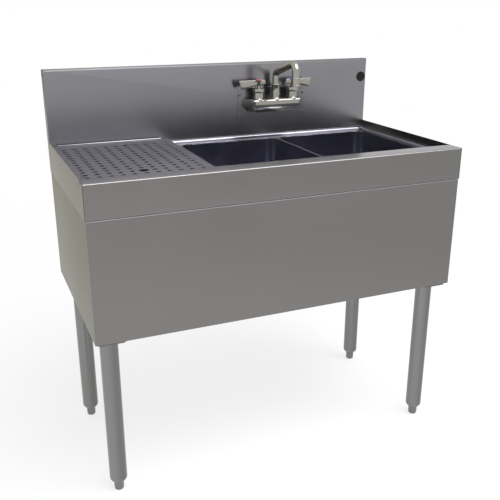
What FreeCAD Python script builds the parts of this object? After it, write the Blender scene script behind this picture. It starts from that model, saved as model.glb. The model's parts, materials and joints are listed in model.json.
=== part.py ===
import FreeCAD, Part
import Sketcher
import math
import os
import re
from FreeCAD import Placement, Rotation, Vector

# Underbar sink on four legs: perforated drainboard on the left, two bowls on the right,
# splash-mounted tap. Millimetres. X runs along the front, Y towards the wall, Z up from the floor.

os.makedirs("parts", exist_ok=True)
doc = FreeCAD.newDocument("bar_sink")
dims = doc.addObject("Spreadsheet::Sheet", "dims")

# ---------------------------------------------------------------- driving dimensions

sizes = {
    # the whole unit
    "unit_width": 914.4,
    "unit_depth": 475,
    "rim_height": 762,
    "splash_rise": 177.8,
    "splash_depth": 19,
    "splash_lip": 25,
    "sheet_gauge": 1.5,
    # recessed top
    "deck_drop": 25.4,
    "cove_radius": 8,
    "deck_edge": 0.2,
    "rim_strip": 46,
    "rim_bend": 3,
    "apron_height": 76.2,
    "apron_return": 14,
    "rail_shelf_lap": 16,
    # bowls
    "bowl_width": 277,
    "bowl_length": 356,
    "bowl_depth": 254,
    "bowl_corner": 32,
    "bowl_floor_radius": 19,
    "bowl_wall": 1.5,
    "bowl_gap": 6,
    "bowl_side_margin": 22,
    "bowl_rear_margin": 28,
    # drainboard pan under the perforated insert
    "pan_side_inset": 23.5,
    "pan_end_inset": 37,
    "pan_depth": 28,
    "pan_corner": 20,
    "pan_floor_radius": 8,
    # perforated insert
    "insert_to_bowl": 28.4,
    "insert_end_gap": 3,
    "insert_drop": 9,
    "insert_flange": 7,
    "insert_side_gap": 1.5,
    "insert_corner_notch": 5,
    "hole_pitch": 25.4,
    "hole_side_border": 20,
    "hole_end_border": 33,
    "hole_radius": 4.75,
    "finger_radius": 9.75,
    "rib_thickness": 3,
    "rib_end_gap": 10,
    # skirt under the apron
    "skirt_height": 277.5,
    "skirt_setback": 1.2,
    "skirt_return": 12,
    "stretcher_depth": 22,
    "stretcher_height": 40,
    # legs and feet
    "leg_radius": 20.65,
    "leg_wall": 1.6,
    "leg_inset_side": 38,
    "leg_inset_front": 51,
    "leg_inset_rear": 77,
    "socket_wall": 3,
    "socket_height": 55,
    "socket_gap": 0.1,
    "mount_plate_width": 70,
    "mount_plate_depth": 92,
    "mount_plate_thick": 4.5,
    "mount_plate_chamfer": 9,
    "foot_radius": 12,
    "foot_chamfer": 3,
    "foot_stand": 20,
    "foot_engagement": 42,
    "collar_height": 15,
    "collar_low_radius": 15,
    "collar_plug": 36,
    "collar_shoulder": 1,
    "set_screw_radius": 4,
    "set_screw_stand": 4,
    # drains
    "drain_thread_radius": 24.15,
    "drain_bore_radius": 20.5,
    "drain_flange_radius": 38,
    "drain_flange_thick": 3.5,
    "drain_flange_slope": 2,
    "drain_length": 48,
    "pan_thread_radius": 16.7,
    "pan_bore_radius": 13.5,
    "pan_flange_radius": 24,
    "pan_drain_length": 42,
    "gasket_thick": 3,
    "gasket_width": 11,
    "nut_thick": 9,
    "nut_overhang": 2,
    "strainer_thick": 1.5,
    "strainer_hole": 2.5,
    "strainer_seat": 2,
    "strainer_land": 7,
    # splash: access panel, plug and end slots
    "panel_side_edge": 4.75,
    "panel_top_edge": 18.75,
    "panel_thick": 1.2,
    "panel_margin": 12,
    "screw_span": 191.5,
    "screw_rise_span": 54.5,
    "screw_radius": 1.7,
    "screw_head_radius": 3.6,
    "screw_head_thick": 1.6,
    "screw_length": 9,
    "plug_radius": 12.7,
    "plug_lip": 1.3,
    "plug_lip_thick": 1.6,
    "plug_grip": 4,
    "plug_side_inset": 15.8,
    "plug_rise": 127,
    "slot_length": 12.7,
    "slot_radius": 4,
    "slot_top_inset": 13,
    "slot_spacing": 76.2,
    # tap
    "tap_rise": 65,
    "valve_offset": 50.8,
    "valve_reach": 28,
    "body_wall_width": 180,
    "body_wall_height": 30,
    "body_width": 150,
    "body_height": 36,
    "body_nose_width": 138,
    "body_nose_height": 33,
    "body_nose_reach": 42,
    "body_corner": 6,
    "body_keel": 13,
    "boss_radius": 12.5,
    "boss_height": 21,
    "post_radius": 11,
    "post_height": 27,
    "bonnet_neck_radius": 11.5,
    "bonnet_neck_height": 14,
    "bonnet_hex_radius": 16.3,
    "bonnet_hex_height": 11,
    "stem_radius": 3,
    "stem_socket": 8,
    "hub_radius": 5,
    "hub_height": 22,
    "hub_wall_over_stem": 3,
    "blade_reach": 57,
    "blade_tail": 20,
    "blade_thick": 3.5,
    "blade_tip_height": 24,
    "blade_tip_slope": 7,
    "blade_root_height": 14,
    "blade_tail_height": 12,
    "blade_corner": 2,
    "cap_radius": 9,
    "cap_thick": 2.5,
    "cap_edge": 0.8,
    "spout_radius": 9,
    "spout_wall": 1.5,
    "spout_reach": 123,
    "spout_elbow_rise": 86,
    "spout_crown_rise": 123.5,
    "spout_outlet_rise": 65,
    "elbow_radius": 11,
    "crown_radius": 18.5,
    "spout_nut_wall": 2.2,
    "spout_nut_step": 0.8,
    "spout_nut_height": 30,
    "aerator_wall": 1.6,
    "aerator_height": 22,
    "aerator_edge": 0.6,
    "aerator_lip": 3,
    "shank_radius": 10.5,
    "shank_bore_radius": 6.5,
    "shank_tail": 18,
    "shank_hole_gap": 0.5,
    "shank_nut_thick": 7,
    "shank_nut_land": 4.5,
    "shank_closed_end": 3,
    # a nut's thread ends one step above the thread that stays free for the pipe
    "thread_step": 0.3,
    "thread_run_out": 1,
    # clearances
    "running_gap": 0.05,
    "rest_gap": 0.3,
}

for row, (alias, number) in enumerate(sizes.items(), start=1):
    dims.set(f"A{row}", alias)
    dims.set(f"B{row}", str(number))
    dims.setAlias(f"B{row}", alias)
doc.recompute()


# ---------------------------------------------------------------- helpers

def on_sheet(expression):
    # Points each size name in an expression at its cell in the sheet.
    return re.sub(r"[a-z_]+", lambda word: f"dims.{word.group()}" if word.group() in sizes
                  else word.group(), expression)


def value(expression):
    return float(dims.evalExpression(on_sheet(expression)))


def bind(thing, name, expression):
    thing.setExpression(name, on_sheet(expression))


def place(thing, corner, rotation=Rotation()):
    thing.Placement = Placement(Vector(0, 0, 0), rotation)
    for axis, expression in zip("xyz", corner):
        bind(thing, f"Placement.Base.{axis}", expression)
    return thing


def block(name, size, corner):
    box = doc.addObject("Part::Box", name)
    for name, expression in zip(("Length", "Width", "Height"), size):
        bind(box, name, expression)
    return place(box, corner)


turn_to = {
    "+Z": Rotation(),
    "+X": Rotation(Vector(0, 1, 0), 90),
    "-X": Rotation(Vector(0, 1, 0), -90),
    "+Y": Rotation(Vector(1, 0, 0), -90),
}


def rod(name, radius, length, base, along="+Z"):
    cylinder = doc.addObject("Part::Cylinder", name)
    bind(cylinder, "Radius", radius)
    bind(cylinder, "Height", length)
    return place(cylinder, base, turn_to[along])


def hexagon(name, radius, length, base, along="+Z"):
    prism = doc.addObject("Part::Prism", name)
    prism.Polygon = 6
    bind(prism, "Circumradius", radius)
    bind(prism, "Height", length)
    return place(prism, base, turn_to[along])


def joined(label, pieces):
    union = doc.addObject("Part::MultiFuse", label)
    union.Shapes = pieces
    union.Refine = True
    return union


def grouped(label, pieces):
    group = doc.addObject("Part::Compound", label)
    group.Links = pieces
    return group


def cut(label, base, tools):
    difference = doc.addObject("Part::Cut", label)
    difference.Base = base
    difference.Tool = tools[0] if len(tools) == 1 else grouped(label + "_tools", tools)
    difference.Refine = True
    return difference


def plane(body, role):
    return next(item for item in body.Origin.OriginFeatures if item.Role == role)


# the numbers by which a sketch knows a line's or an arc's points, its own axes and its origin
start_point, end_point, centre_point = 1, 2, 3
across_axis, up_axis = -1, -2
origin = (across_axis, start_point)


def attached_sketch(body, role, name, offset="0"):
    sketch = body.newObject("Sketcher::SketchObject", name)
    sketch.AttachmentSupport = [(plane(body, role), "")]
    sketch.MapMode = "FlatFace"
    if offset != "0":
        bind(sketch, "AttachmentOffset.Base.z", offset)
    return sketch


def fix_point(sketch, vertex, point):
    # Holds one vertex at a place given by two expressions, measured from the sketch origin.
    for kind, axis_line, expression in (("DistanceX", up_axis, point[0]),
                                        ("DistanceY", across_axis, point[1])):
        number = value(expression)
        if abs(number) < 1e-9:
            sketch.addConstraint(Sketcher.Constraint("PointOnObject", *vertex, axis_line))
            continue
        index = sketch.addConstraint(Sketcher.Constraint(kind, *origin, *vertex, number))
        sketch.renameConstraint(index, f"place{index}")
        bind(sketch, f"Constraints.place{index}", expression)


def outline(body, role, points, name="Outline", offset="0"):
    # A closed outline of straight lines through points given as pairs of expressions.
    sketch = attached_sketch(body, role, name, offset)
    spots = [Vector(value(across), value(up), 0) for across, up in points]
    count = len(spots)
    for index in range(count):
        sketch.addGeometry(Part.LineSegment(spots[index], spots[(index + 1) % count]), False)
    for index in range(count):
        sketch.addConstraint(Sketcher.Constraint("Coincident", index, end_point,
                                                 (index + 1) % count, start_point))
    for index, point in enumerate(points):
        fix_point(sketch, (index, start_point), point)
    return sketch


def turned(label, points, base, rotation=Rotation()):
    # A lathe-turned piece: the outline gives radius and height pairs.
    body = doc.addObject("PartDesign::Body", label)
    profile = outline(body, "XZ_Plane", points)
    revolution = body.newObject("PartDesign::Revolution", "Turning")
    revolution.Profile = profile
    revolution.ReferenceAxis = (profile, ["V_Axis"])
    revolution.Angle = 360
    place(body, base, rotation)
    doc.recompute()
    return body


def body_box(body, kind, name, size, corner):
    box = body.newObject(f"PartDesign::{kind}Box", name)
    for prop, expression in zip(("Length", "Width", "Height"), size):
        bind(box, prop, expression)
    return place(box, corner)


def body_rod(body, kind, name, radius, length, base, along="+Z"):
    cylinder = body.newObject(f"PartDesign::{kind}Cylinder", name)
    bind(cylinder, "Radius", radius)
    bind(cylinder, "Height", length)
    return place(cylinder, base, turn_to[along])


def picked(kind, feature, test):
    # Names of the feature's edges or faces whose bounding box passes the test.
    doc.recompute()
    items = feature.Shape.Edges if kind == "Edge" else feature.Shape.Faces
    return [f"{kind}{index}" for index, item in enumerate(items, start=1) if test(item.BoundBox)]


def rounded(body, feature, radius, test, kind="Fillet"):
    dressing = body.newObject(f"PartDesign::{kind}", kind)
    dressing.Base = (feature, picked("Edge", feature, test))
    bind(dressing, "Radius" if kind == "Fillet" else "Size", radius)
    return dressing


def upright(box):
    return box.ZLength > 1 and box.XLength < 0.01 and box.YLength < 0.01


def rounded_block(label, size, corner, corner_radius):
    body = doc.addObject("PartDesign::Body", label)
    blank = body_box(body, "Additive", "Blank", size, ("0", "0", "0"))
    rounded(body, blank, corner_radius, upright)
    place(body, corner)
    doc.recompute()
    return body


def basin(label, size, corner, corner_radius, floor_radius, hole_radius):
    # A drawn bowl: its cavity is rounded, shelled outwards and pierced for the drain.
    width, length, depth = size
    body = doc.addObject("PartDesign::Body", label)
    cavity = body_box(body, "Additive", "Cavity", size, ("0", "0", "0"))
    sides = rounded(body, cavity, corner_radius, upright)
    floor = rounded(body, sides, floor_radius, lambda box: box.ZMax < 0.01)
    top = value(depth)
    shell = body.newObject("PartDesign::Thickness", "Shell")
    shell.Base = (floor, picked("Face", floor, lambda box: box.ZMin > top - 0.01))
    shell.Join = 0
    shell.Reversed = False
    bind(shell, "Value", "bowl_wall")
    body_rod(body, "Subtractive", "DrainHole", hole_radius, "bowl_wall * 4",
             (f"({width}) / 2", f"({length}) / 2", "-bowl_wall * 2"))
    place(body, corner)
    doc.recompute()
    return body


# ---------------------------------------------------------------- shared planes

left = "(-unit_width / 2)"
right = "(unit_width / 2)"
front = "(-unit_depth / 2)"
rear = "(unit_depth / 2)"
inner_left = f"({left} + sheet_gauge)"
inner_width = "(unit_width - 2 * sheet_gauge)"
rim_inner = f"({front} + rim_strip)"
splash_front = f"({rear} - splash_depth)"
splash_top = "(rim_height + splash_rise)"
deck_top = "(rim_height - deck_drop)"
deck_under = f"({deck_top} - sheet_gauge)"
apron_foot = "(rim_height - apron_height)"
skirt_foot = f"({apron_foot} - skirt_height)"
deck_length = "(unit_depth - splash_depth - rim_strip)"
nodes = []


def node(thing, label):
    thing.Label = label
    nodes.append(thing)
    return thing


# ---------------------------------------------------------------- top: deck, apron, splash, ends

bowl_right_x = f"({right} - bowl_side_margin - bowl_width)"
bowl_left_x = f"({bowl_right_x} - bowl_gap - bowl_width)"
bowl_y = f"({splash_front} - bowl_rear_margin - bowl_length)"
divider_x = f"({bowl_right_x} - bowl_gap / 2)"
insert_x = f"({inner_left} + insert_side_gap)"
insert_width = f"({bowl_left_x} - insert_to_bowl - {insert_x})"
insert_length = f"({deck_length} - 2 * insert_end_gap)"
pan_width = f"({insert_width} - 2 * pan_side_inset)"
pan_length = f"({insert_length} - 2 * pan_end_inset)"
insert_middle_x = f"({insert_x} + {insert_width} / 2)"
insert_middle_y = f"({rim_inner} + {deck_length} / 2)"
pan_x = f"({insert_middle_x} - {pan_width} / 2)"
pan_y = f"({insert_middle_y} - {pan_length} / 2)"

# The deck is a shallow tray whose edges sweep up into the walls around it.
deck_blank = doc.addObject("PartDesign::Body", "deck_blank")
slab = body_box(deck_blank, "Additive", "Slab",
                (inner_width, deck_length, "sheet_gauge + cove_radius"), ("0", "0", "0"))
hollow = body_box(deck_blank, "Subtractive", "Hollow",
                  (f"{inner_width} - 2 * deck_edge", f"{deck_length} - 2 * deck_edge",
                   "cove_radius * 2"),
                  ("deck_edge", "deck_edge", "sheet_gauge"))
gauge = value("sheet_gauge")
cove = rounded(deck_blank, hollow, "cove_radius - deck_edge",
               lambda box: abs(box.ZMin - gauge) < 0.01 and abs(box.ZMax - gauge) < 0.01)
place(deck_blank, (inner_left, rim_inner, deck_under))
doc.recompute()
through = ("sheet_gauge * 4", f"{deck_under} - sheet_gauge")
openings = [
    rounded_block(f"{side}_bowl_opening", ("bowl_width", "bowl_length", through[0]),
                  (corner_x, bowl_y, through[1]), "bowl_corner")
    for side, corner_x in (("left", bowl_left_x), ("right", bowl_right_x))
]
openings.append(rounded_block("pan_opening", (pan_width, pan_length, through[0]),
                              (pan_x, pan_y, through[1]), "pan_corner"))
node(cut("deck_cut", deck_blank, openings), "deck")

# The front rim, its inner wall and the apron are one folded strip.
apron = doc.addObject("PartDesign::Body", "front_apron_body")
fold = outline(apron, "YZ_Plane", [
    ("0", "0"),
    ("apron_return", "0"),
    ("apron_return", "sheet_gauge"),
    ("sheet_gauge", "sheet_gauge"),
    ("sheet_gauge", "apron_height - sheet_gauge"),
    ("rim_strip - sheet_gauge", "apron_height - sheet_gauge"),
    ("rim_strip - sheet_gauge", "apron_height - deck_drop - sheet_gauge"),
    ("rim_strip", "apron_height - deck_drop - sheet_gauge"),
    ("rim_strip", "apron_height"),
    ("0", "apron_height"),
])
strip = apron.newObject("PartDesign::Pad", "Strip")
strip.Profile = fold
bind(strip, "Length", inner_width)
apron_top = value("apron_height")
rim_back = value("rim_strip")
rounded(apron, strip, "rim_bend", lambda box: box.XLength > 1 and box.ZMin > apron_top - 0.01
        and box.YMax < 0.01)
place(apron, (inner_left, front, apron_foot))
doc.recompute()
node(apron, "front_apron")

# Tap access opening, plug hole and the folded-back top edge of the splash.
tap_x = divider_x
tap_z = "(rim_height + tap_rise)"
plug_x = f"({right} - plug_side_inset)"
plug_z = "(rim_height + plug_rise)"
panel_width = "(screw_span + 2 * panel_side_edge)"
panel_height = "(screw_rise_span + 2 * panel_top_edge)"
splash_sheets = [
    block("splash_face", (inner_width, "sheet_gauge", f"{splash_top} - {deck_under}"),
          (inner_left, splash_front, deck_under)),
    block("splash_cap", (inner_width, "splash_depth", "sheet_gauge"),
          (inner_left, splash_front, f"{splash_top} - sheet_gauge")),
    block("splash_hem", (inner_width, "sheet_gauge", "splash_lip"),
          (inner_left, f"{rear} - sheet_gauge", f"{splash_top} - splash_lip")),
]
screw_spots = [
    (f"{tap_x} + {across} * screw_span / 2", f"{tap_z} + {up} * screw_rise_span / 2")
    for across in (-1, 1) for up in (-1, 1)
]
splash_tools = [
    block("access_opening",
          ("screw_span - panel_margin", "sheet_gauge * 4", f"{panel_height} - 2 * panel_margin"),
          (f"{tap_x} - (screw_span - panel_margin) / 2", f"{splash_front} - sheet_gauge",
           f"{tap_z} - {panel_height} / 2 + panel_margin")),
    rod("plug_hole", "plug_radius", "sheet_gauge * 4",
        (plug_x, f"{splash_front} - sheet_gauge", plug_z), "+Y"),
]
for index, (spot_x, spot_z) in enumerate(screw_spots):
    splash_tools.append(rod(f"splash_screw_hole_{index}", "screw_radius + running_gap",
                            "sheet_gauge * 4", (spot_x, f"{splash_front} - sheet_gauge", spot_z),
                            "+Y"))
node(cut("splash_cut", joined("splash_blank", splash_sheets), splash_tools), "backsplash")


def end_plate(side, outer_x, return_x):
    # Side of the top with the splash end in one L-shaped sheet, slotted to bolt to a neighbour.
    sheets = [
        block(f"{side}_end_side",
              ("sheet_gauge", "unit_depth", "apron_height"), (outer_x, front, apron_foot)),
        block(f"{side}_end_splash", ("sheet_gauge", "splash_depth", "splash_rise"),
              (outer_x, splash_front, "rim_height")),
        block(f"{side}_end_return",
              ("apron_return", "unit_depth - apron_return - sheet_gauge", "sheet_gauge"),
              (return_x, f"{front} + apron_return", apron_foot)),
    ]
    tools = []
    for index in range(2):
        slot_z = f"({splash_top} - slot_top_inset - {index} * slot_spacing)"
        slot_y = f"({splash_front} + splash_depth / 2)"
        reach = f"({outer_x} - sheet_gauge)"
        half = "(slot_length / 2 - slot_radius)"
        pieces = [
            block(f"{side}_slot_{index}_middle",
                  ("sheet_gauge * 3", "slot_radius * 2", f"{half} * 2"),
                  (reach, f"{slot_y} - slot_radius", f"{slot_z} - {half}")),
            rod(f"{side}_slot_{index}_low", "slot_radius", "sheet_gauge * 3",
                (reach, slot_y, f"{slot_z} - {half}"), "+X"),
            rod(f"{side}_slot_{index}_high", "slot_radius", "sheet_gauge * 3",
                (reach, slot_y, f"{slot_z} + {half}"), "+X"),
        ]
        tools.append(joined(f"{side}_slot_{index}", pieces))
    blank = joined(f"{side}_end_blank", sheets)
    return node(cut(f"{side}_end_cut", blank, tools), f"end_plate_{side}")


end_plate("left", left, left)
end_plate("right", f"{right} - sheet_gauge", f"{right} - apron_return")

# An angle under the back edge carries the deck and closes the top's rear.
node(joined("rear_rail_union", [
    block("rear_rail_web", (inner_width, "sheet_gauge", f"{deck_under} - {apron_foot}"),
          (inner_left, f"{rear} - sheet_gauge", apron_foot)),
    block("rear_rail_shelf", (inner_width, "splash_depth + rail_shelf_lap", "sheet_gauge"),
          (inner_left, f"{splash_front} - rail_shelf_lap", f"{deck_under} - sheet_gauge")),
]), "rear_rail")

# ---------------------------------------------------------------- bowls and drains


def drain_set(name, centre_x, centre_y, floor_z, thread, bore, flange, length, gasket_name):
    # Flanged drain through a basin floor, with the gasket and the nut that clamp it below.
    neck = f"({thread} + thread_step)"
    seat = f"({flange} - strainer_land)"
    under_floor = f"({floor_z} - bowl_wall)"
    neck_end = "(-bowl_wall - gasket_thick - nut_thick - thread_run_out)"
    node(turned(f"{name}_body", [
        (bore, f"-({length})"),
        (thread, f"-({length})"),
        (thread, neck_end),
        (neck, neck_end),
        (neck, "0"),
        (flange, "0"),
        (flange, "drain_flange_thick * 0.4"),
        (f"{flange} - drain_flange_slope", "drain_flange_thick"),
        (seat, "drain_flange_thick"),
        (seat, "drain_flange_thick - strainer_seat"),
        (bore, "drain_flange_thick - strainer_seat"),
    ], (centre_x, centre_y, floor_z)), name)
    node(turned(f"{gasket_name}_body", [
        (f"{neck} + rest_gap", "0"),
        (f"{neck} + gasket_width", "0"),
        (f"{neck} + gasket_width", "gasket_thick"),
        (f"{neck} + rest_gap", "gasket_thick"),
    ], (centre_x, centre_y, f"{under_floor} - gasket_thick")), gasket_name)
    nut_z = f"({under_floor} - gasket_thick - nut_thick)"
    nut_blank = hexagon(f"{name}_nut_blank", f"{neck} + gasket_width + nut_overhang", "nut_thick",
                        (centre_x, centre_y, nut_z))
    nut_bore = rod(f"{name}_nut_bore", f"{neck} + running_gap", "nut_thick * 3",
                   (centre_x, centre_y, f"{nut_z} - nut_thick"))
    node(cut(f"{name}_nut_cut", nut_blank, [nut_bore]), f"{name}_locknut")


bowl_centre_y = f"({bowl_y} + bowl_length / 2)"
bowl_floor = f"({deck_top} - bowl_depth)"
for side, corner_x in (("left", bowl_left_x), ("right", bowl_right_x)):
    centre_x = f"({corner_x} + bowl_width / 2)"
    node(basin(f"{side}_bowl_shell",
               ("bowl_width", "bowl_length", "bowl_depth - sheet_gauge"),
               (corner_x, bowl_y, bowl_floor), "bowl_corner", "bowl_floor_radius",
               "drain_thread_radius + thread_step + rest_gap"), f"bowl_{side}")
    drain_set(f"drain_{side}", centre_x, bowl_centre_y, bowl_floor, "drain_thread_radius",
              "drain_bore_radius", "drain_flange_radius", "drain_length",
              f"drain_gasket_{side}")
    # The lift-out strainer is a perforated disc with a ring of holes and a finger hole.
    strainer_radius = "(drain_flange_radius - strainer_land - rest_gap)"
    strainer = turned(f"{side}_strainer_body", [
        ("strainer_hole * 2", "0"),
        (strainer_radius, "0"),
        (strainer_radius, "strainer_thick"),
        ("strainer_hole * 2", "strainer_thick"),
    ], (centre_x, bowl_centre_y, f"{bowl_floor} + drain_flange_thick - strainer_seat"))
    for ring, (share, count) in enumerate(((0.42, 8), (0.62, 12))):
        hole = body_rod(strainer, "Subtractive", f"Hole{ring}", "strainer_hole",
                        "strainer_thick * 3",
                        (f"{strainer_radius} * {share}", "0", "-strainer_thick"))
        spread = strainer.newObject("PartDesign::PolarPattern", f"Ring{ring}")
        spread.Originals = [hole]
        spread.Axis = (plane(strainer, "Z_Axis"), [""])
        spread.Angle = 360
        spread.Occurrences = count
        strainer.Tip = spread
        doc.recompute()
    node(strainer, f"strainer_{side}")

# ---------------------------------------------------------------- drainboard

pan_floor = f"({deck_under} - pan_depth)"
node(basin("pan_shell", (pan_width, pan_length, "pan_depth"), (pan_x, pan_y, pan_floor),
           "pan_corner", "pan_floor_radius", "pan_thread_radius + thread_step + rest_gap"),
     "drainboard_pan")
drain_set("pan_drain", insert_middle_x, insert_middle_y, pan_floor,
          "pan_thread_radius", "pan_bore_radius", "pan_flange_radius", "pan_drain_length",
          "pan_drain_gasket")

# The insert is a folded tray, upside down, on two ribs that stand on the deck.
insert = doc.addObject("PartDesign::Body", "insert_body")
insert_height = "(deck_drop - insert_drop)"
body_box(insert, "Additive", "Plate", (insert_width, insert_length, "sheet_gauge"),
         ("0", "0", f"{insert_height} - sheet_gauge"))
flange_z = f"{insert_height} - sheet_gauge - insert_flange"
for name, size, corner in (
        ("FrontFlange", (f"{insert_width} - 2 * insert_corner_notch", "sheet_gauge"),
         ("insert_corner_notch", "0")),
        ("RearFlange", (f"{insert_width} - 2 * insert_corner_notch", "sheet_gauge"),
         ("insert_corner_notch", f"{insert_length} - sheet_gauge")),
        ("LeftFlange", ("sheet_gauge", f"{insert_length} - 2 * insert_corner_notch"),
         ("0", "insert_corner_notch")),
        ("RightFlange", ("sheet_gauge", f"{insert_length} - 2 * insert_corner_notch"),
         (f"{insert_width} - sheet_gauge", "insert_corner_notch"))):
    body_box(insert, "Additive", name, (*size, "insert_flange"), (*corner, flange_z))
columns = f"(floor(({insert_width} - 2 * hole_side_border) / hole_pitch) + 1)"
rows = f"(floor(({insert_length} - 2 * hole_end_border) / hole_pitch) + 1)"
middle_column = f"({insert_width} / 2)"
middle_row = f"({insert_length} / 2)"
rib_spread = f"({columns} - 4) / 2 * hole_pitch"
for name, side in (("LeftRib", -1), ("RightRib", 1)):
    body_box(insert, "Additive", name,
             ("rib_thickness", f"{insert_length} - 2 * rib_end_gap",
              f"{insert_height} - sheet_gauge"),
             (f"{middle_column} + {side} * {rib_spread} - rib_thickness / 2",
              "rib_end_gap", "0"))
for name, corner in (
        ("FrontLeftNotch", ("-1", "-1")),
        ("FrontRightNotch", (f"{insert_width} - insert_corner_notch", "-1")),
        ("RearLeftNotch", ("-1", f"{insert_length} - insert_corner_notch")),
        ("RearRightNotch", (f"{insert_width} - insert_corner_notch",
                            f"{insert_length} - insert_corner_notch"))):
    body_box(insert, "Subtractive", name,
             ("insert_corner_notch + 1", "insert_corner_notch + 1", "insert_flange * 4"),
             (*corner, f"{insert_height} - insert_flange * 2"))
first_hole = (f"{middle_column} - ({columns} - 1) / 2 * hole_pitch",
              f"{middle_row} - ({rows} - 1) / 2 * hole_pitch")
body_rod(insert, "Subtractive", "FingerHole", "finger_radius", "sheet_gauge * 3",
         (f"{first_hole[0]} + floor(({columns} - 1) / 2) * hole_pitch",
          f"{first_hole[1]} + hole_pitch", f"{insert_height} - sheet_gauge * 2"))
hole = body_rod(insert, "Subtractive", "Perforation", "hole_radius", "sheet_gauge * 3",
                (*first_hole, f"{insert_height} - sheet_gauge * 2"))
grid = insert.newObject("PartDesign::LinearPattern", "PerforationGrid")
grid.Originals = [hole]
grid.Direction = (plane(insert, "X_Axis"), [""])
grid.Mode = "Spacing"
grid.Direction2 = (plane(insert, "Y_Axis"), [""])
grid.Mode2 = "Spacing"
bind(grid, "Offset", "hole_pitch")
bind(grid, "Offset2", "hole_pitch")
bind(grid, "Occurrences", columns)
bind(grid, "Occurrences2", rows)
insert.Tip = grid
place(insert, (insert_x, f"{rim_inner} + insert_end_gap", deck_top))
doc.recompute()
node(insert, "drainboard_insert")

# ---------------------------------------------------------------- skirt and frame

skirt_left = f"({left} + skirt_setback)"
skirt_right = f"({right} - skirt_setback)"
skirt_front = f"({front} + skirt_setback)"
skirt_width = "(unit_width - 2 * skirt_setback)"
skirt_behind = f"({skirt_front} + sheet_gauge)"
tucked_width = f"({skirt_width} - 2 * sheet_gauge)"
node(joined("front_skirt_union", [
    block("front_skirt_face", (skirt_width, "sheet_gauge", "skirt_height"),
          (skirt_left, skirt_front, skirt_foot)),
    block("front_skirt_top", (tucked_width, "skirt_return", "sheet_gauge"),
          (f"{skirt_left} + sheet_gauge", skirt_front, f"{apron_foot} - sheet_gauge")),
    block("front_skirt_foot", (tucked_width, "skirt_return", "sheet_gauge"),
          (f"{skirt_left} + sheet_gauge", skirt_front, skirt_foot)),
]), "front_skirt")
for side, face_x, return_x in (("left", skirt_left, skirt_left),
                               ("right", f"{skirt_right} - sheet_gauge",
                                f"{skirt_right} - skirt_return")):
    run = f"{rear} - {skirt_front} - skirt_return"
    node(joined(f"{side}_skirt_union", [
        block(f"{side}_skirt_face",
              ("sheet_gauge", f"{rear} - {skirt_behind}", "skirt_height"),
              (face_x, skirt_behind, skirt_foot)),
        block(f"{side}_skirt_top", ("skirt_return", run, "sheet_gauge"),
              (return_x, f"{skirt_front} + skirt_return", f"{apron_foot} - sheet_gauge")),
        block(f"{side}_skirt_foot", ("skirt_return", run, "sheet_gauge"),
              (return_x, f"{skirt_front} + skirt_return", skirt_foot)),
    ]), f"skirt_{side}")

leg_left = f"({left} + leg_inset_side)"
leg_right = f"({right} - leg_inset_side)"
leg_front = f"({front} + leg_inset_front)"
leg_rear = f"({rear} - leg_inset_rear)"
stretcher_y = f"({leg_rear} + leg_radius + socket_gap + socket_wall + rest_gap)"
stretcher_x = f"({skirt_left} + skirt_return)"
stretcher_run = "(unit_width - 2 * skirt_setback - 2 * skirt_return)"
node(joined("stretcher_union", [
    block("stretcher_foot", (stretcher_run, "stretcher_depth", "sheet_gauge"),
          (stretcher_x, stretcher_y, skirt_foot)),
    block("stretcher_web", (stretcher_run, "sheet_gauge", "stretcher_height"),
          (stretcher_x, stretcher_y, skirt_foot)),
    block("stretcher_top", (stretcher_run, "stretcher_depth", "sheet_gauge"),
          (stretcher_x, stretcher_y, f"{skirt_foot} + stretcher_height - sheet_gauge")),
]), "rear_stretcher")

# ---------------------------------------------------------------- legs and feet

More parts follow.
